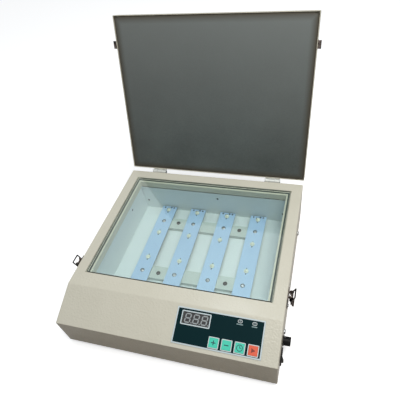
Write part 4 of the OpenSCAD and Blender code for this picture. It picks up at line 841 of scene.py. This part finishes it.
# %% Rings round the lamps, each with a bar below it
TICK_DROP = 4.1
TICK_LENGTHS = (9.0, 7.6)
for i, mid in enumerate(lamp_mids):
    film_frame(f"lamp_ring_{i + 1}", mid, (6.4, 4.5), width=0.62, corner=2.2, look="white_print")
    tick = round_rect(TICK_LENGTHS[i], 1.3, radius=0.5, count=4) + mid - [0, TICK_DROP]
    print_shape(f"lamp_tick_{i + 1}", tick, film_heights, "dim_print", "cabinet")
print("lamp rings", len(lamp_mids))

# %% [markdown]
# ## Icons on the keys
#
# The keys carry plain signs: plus, minus, a clock and a start triangle. Each is a thin plate on
# its key's cap, so it moves with the key.

# %% Icons
CAP_TOP = FILM_TOP + 0.5
cap_heights = (CAP_TOP - SUNK, CAP_TOP + PRINT_T)
ARM, HALF = 3.1, 0.62
# One arm of the plus, from its inner corner on the right round to the one on the left
arm = np.array([[HALF, HALF], [HALF, ARM], [-HALF, ARM]])
quarter_turn = np.array([[0, 1], [-1, 0]])
plus = np.concatenate([arm @ np.linalg.matrix_power(quarter_turn, k) for k in range(4)])
minus = np.array([[-ARM, -HALF], [ARM, -HALF], [ARM, HALF], [-ARM, HALF]])
hands = np.array([[-0.4, -0.4], [2.3, -0.4], [2.3, 0.4], [0.4, 0.4], [0.4, 2.9], [-0.4, 2.9]])
triangle = np.array([[-2.4, -3.1], [3.2, 0], [-2.4, 3.1]])
CLOCK = 8.8
signs = [("plus_sign", plus, 0, "dark_print"), ("minus_sign", minus, 1, "dark_print"),
         ("clock_hands", hands, 2, "dark_print"), ("start_sign", triangle, 3, "brown_print")]
for name, outline, key, look in signs:
    print_shape(name, outline + key_mids[key], cap_heights, look, KEYS[key])
print_frame("clock_face", key_mids[2], (CLOCK, CLOCK), 0.9, 4.39, cap_heights, "dark_print",
            KEYS[2])
print("signs", len(signs) + 1)

# %% [markdown]
# ## Solder on the boards
#
# Each board is fed at its back end, through four dark blobs of solder in a scattered row. A blob
# is half an ellipse turned about its axis, and all of them make one piece.

# %% Where the boards lie
board_boxes = np.array([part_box(f"led_board_{i + 1}") for i in range(4)])
BOARD_TOP = (board_boxes[0, 0, 2] - BASE_Z) / MM + BOARD_T
board_xs = board_boxes[:, :, 0].mean(1) / MM
board_back = (board_boxes[0, 1, 1] - FRONT_Y) / MM
board_middle = (board_boxes[0, :, 1].mean() - FRONT_Y) / MM
print("boards at x", np.round(board_xs, 1), "top", round(BOARD_TOP, 2))

# %% Solder blobs
finishes["solder"] = finish("solder", linear(30, 40, 56), linear(52, 64, 82), (0.25, 0.4),
                            metallic=0.2)
# Places from a board's middle and from its back end, and how near a dome comes to its pole
PADS = [(-9, 3), (9, 3), (-3, 5.5), (3.5, 2.5)]
TO_POLE = 0.97


def domes(name, spots, radius, height, look, body, rings=6, sides=16):
    """A low dome on each spot: radius times cos t outwards, height times sin t up, closed on top."""
    t = np.linspace(0, math.pi / 2 * TO_POLE, rings)[:, None]
    turn = np.arange(sides) * 2 * math.pi / sides
    out, up = radius * np.cos(t), height * np.sin(t)
    one = np.stack([out * np.cos(turn), out * np.sin(turn), up + 0 * turn], -1).reshape(-1, 3)
    points = (one + np.asarray(spots)[:, None]).reshape(-1, 3)
    side, faces = np.arange(sides), []
    for base in np.arange(len(spots)) * rings * sides:
        faces += grid_faces(rings, sides, wrap_cols=True, start=base)
        faces += [(base + (rings - 1) * sides + side).tolist(), (base + side[::-1]).tolist()]
    return mesh_piece(name, place(points), faces, look, body)


solder_spots = [[x + dx, board_back - dy, BOARD_TOP] for x in board_xs for dx, dy in PADS]
domes("board_solder", solder_spots, radius=1.8, height=0.8, look="solder", body="cabinet")
print("solder domes", len(solder_spots))

# %% [markdown]
# ## Painted shade round the board screws
#
# A ring of painted shade lies round each board screw, a little off its middle. It is the same
# swept frame as the printed ones, with corners so round that the rectangle is a circle.

# %% Painted shade round the board screws
FIX_PITCH = 58.0
# Painted shade: each dark ring stands for the shade round a screw's head, widest on one side
SHADE_RING_SHIFT = np.array([-0.35, 0.65])
SHADE_RING = 7.4
SHADE_RING_T = 0.25
shade_ring_heights = (BOARD_TOP - SUNK, BOARD_TOP + SHADE_RING_T)
finishes["washer"] = finish("washer", linear(34, 46, 54), linear(54, 66, 74), (0.4, 0.55),
                            metallic=0.2)
for i, x in enumerate(board_xs):
    for k, way in enumerate((-1, 1)):
        at = np.array([x, board_middle + way * FIX_PITCH]) + SHADE_RING_SHIFT
        print_frame(f"board_screw_shade_{i + 1}_{k + 1}", at, (SHADE_RING, SHADE_RING), 1.9, 3.69, shade_ring_heights,
                    "washer", "cabinet", to=place)
print("screw_shade_rings", 2 * len(board_xs))

# %% [markdown]
# ## The last finishes
#
# Every CAD node that still has none takes its slot's finish. The latches are chrome, and their
# dark colour is painted reflection of dark surroundings, deepest on the wire bails.

# %% The remaining CAD nodes take their slot's finish
# Painted reflection: the bails are near black, standing for the dark surroundings that their chrome reflects
finishes["bail_wire"] = finish("bail_wire", linear(7, 6, 7), linear(20, 17, 18), (0.25, 0.4),
                               metallic=0.3, specular=0.2)
for name, obj in nodes.items():
    if slot_of[name] in finishes:
        obj.data.materials.clear()
        obj.data.materials.append(finishes["bail_wire" if "bail" in name else slot_of[name]])
print("dressed", len(nodes))

# %% [markdown]
# ## Light and floor
#
# The object stands on a white ground, with its bed bright, its front in shade and no hard shadow.
# One broad lamp hangs above, to the right and in front, a small cool one makes the glare from
# behind on the left, and the world is a dome that is bright overhead. The floor looks white to
# the camera, and gives a little warm light back to the front.

# %% Rays that see the white ground
# The glow that the camera and the glass see, the glow that gloss sees, and gloss's share of white
FLOOR_GLOW = 0.55
FLOOR_GLOW_MIRRORED = 0.06
WHITE_MIRRORED = 0.6


def either(tree, first, second):
    """The larger of two values, as an output."""
    node = add(tree, "ShaderNodeMath", operation="MAXIMUM")
    tree.links.new(first, node.inputs[0])
    tree.links.new(second, node.inputs[1])
    return node.outputs[0]


def share(tree, value, factor, more=None):
    """A value times a fixed factor, plus more where that is given, as an output."""
    kind = "MULTIPLY" if more is None else "MULTIPLY_ADD"
    node = add(tree, "ShaderNodeMath", {1: factor}, operation=kind)
    tree.links.new(value, node.inputs[0])
    if more is not None:
        tree.links.new(more, node.inputs[2])
    return node.outputs[0]


# %% Floor
FLOOR_HALF = 6
corners = [(-FLOOR_HALF, -FLOOR_HALF, 0), (FLOOR_HALF, -FLOOR_HALF, 0),
           (FLOOR_HALF, FLOOR_HALF, 0), (-FLOOR_HALF, FLOOR_HALF, 0)]
floor_mesh = bpy.data.meshes.new("floor")
floor_mesh.from_pydata(corners, [], [(0, 1, 2, 3)])
floor = bpy.data.objects.new("floor", floor_mesh)
bpy.context.scene.collection.objects.link(floor)
floor_mat = bpy.data.materials.new("floor")
floor_mat.use_nodes = True
tree = floor_mat.node_tree
shader = tree.nodes["Principled BSDF"]
shader.inputs["Roughness"].default_value = 0.9
shader.inputs["Specular IOR Level"].default_value = 0.0
shader.inputs["Emission Color"].default_value = (1, 1, 1, 1)
rays = add(tree, "ShaderNodeLightPath").outputs
seen = either(tree, rays["Is Camera Ray"], rays["Is Transmission Ray"])
looks_white = either(tree, seen, share(tree, rays["Is Glossy Ray"], WHITE_MIRRORED))
glow = share(tree, seen, FLOOR_GLOW, share(tree, rays["Is Glossy Ray"], FLOOR_GLOW_MIRRORED))
colour = add(tree, "ShaderNodeMix", data_type="RGBA")
colour.inputs["A"].default_value = (0.22, 0.16, 0.09, 1)
colour.inputs["B"].default_value = (0.95, 0.95, 0.95, 1)
tree.links.new(looks_white, colour.inputs["Factor"])
tree.links.new(colour.outputs["Result"], shader.inputs["Base Color"])
tree.links.new(glow, shader.inputs["Emission Strength"])
floor_mat.cycles.emission_sampling = "NONE"
floor_mesh.materials.append(floor_mat)

# %% World
# The dome's strength is the height's square times the first value, plus the second
DOME_STRENGTH = 0.7
HORIZON_STRENGTH = 0.035
world = bpy.data.worlds.new("studio")
bpy.context.scene.world = world
world.use_nodes = True
tree = world.node_tree
background = tree.nodes["Background"]
background.inputs["Color"].default_value = (0.95, 0.975, 1.0, 1)
direction = add(tree, "ShaderNodeTexCoord")
axes = add(tree, "ShaderNodeSeparateXYZ")
height = add(tree, "ShaderNodeMath", {1: 0.0}, operation="MAXIMUM")
squared = add(tree, "ShaderNodeMath", {1: 2.0}, operation="POWER")
dome = add(tree, "ShaderNodeMath", {1: DOME_STRENGTH, 2: HORIZON_STRENGTH}, operation="MULTIPLY_ADD")
tree.links.new(direction.outputs["Generated"], axes.inputs[0])
tree.links.new(axes.outputs["Z"], height.inputs[0])
tree.links.new(height.outputs[0], squared.inputs[0])
tree.links.new(squared.outputs[0], dome.inputs[0])
tree.links.new(dome.outputs[0], background.inputs["Strength"])

# %% The world's white ground
rays = add(tree, "ShaderNodeLightPath").outputs
seen = either(tree, rays["Is Camera Ray"], rays["Is Glossy Ray"])
white = add(tree, "ShaderNodeBackground", {"Color": (1, 1, 1, 1), "Strength": 1.0})
mix = add(tree, "ShaderNodeMixShader")
tree.links.new(either(tree, seen, rays["Is Transmission Ray"]), mix.inputs["Fac"])
tree.links.new(background.outputs["Background"], mix.inputs[1])
tree.links.new(white.outputs["Background"], mix.inputs[2])
tree.links.new(mix.outputs["Shader"], tree.nodes["World Output"].inputs["Surface"])


# %% Lamps
def lamp(name, at, aim, size, watts, colour):
    """A square lamp at a point, facing another."""
    light = bpy.data.lights.new(name, "AREA")
    light.shape = "SQUARE"
    light.size = size
    light.energy = watts
    light.color = colour
    obj = bpy.data.objects.new(name, light)
    obj.location = at
    obj.rotation_euler = (Vector(at) - Vector(aim)).to_track_quat("Z", "Y").to_euler()
    bpy.context.scene.collection.objects.link(obj)
    return obj


BED_MIDDLE = (0, 0, 0.08)
WARM = (1.0, 0.985, 0.95)
COOL = (0.82, 0.93, 1.0)
lamp("overhead", (0.38, -0.14, 1.02), BED_MIDDLE, size=0.55, watts=5.8, colour=WARM)
lamp("glare", (-0.2, 0.59, 1.75), BED_MIDDLE, size=0.26, watts=3.0, colour=COOL)
print("lamps", len(bpy.data.lights))

# %% Colours as written
bpy.context.scene.view_settings.view_transform = "Standard"
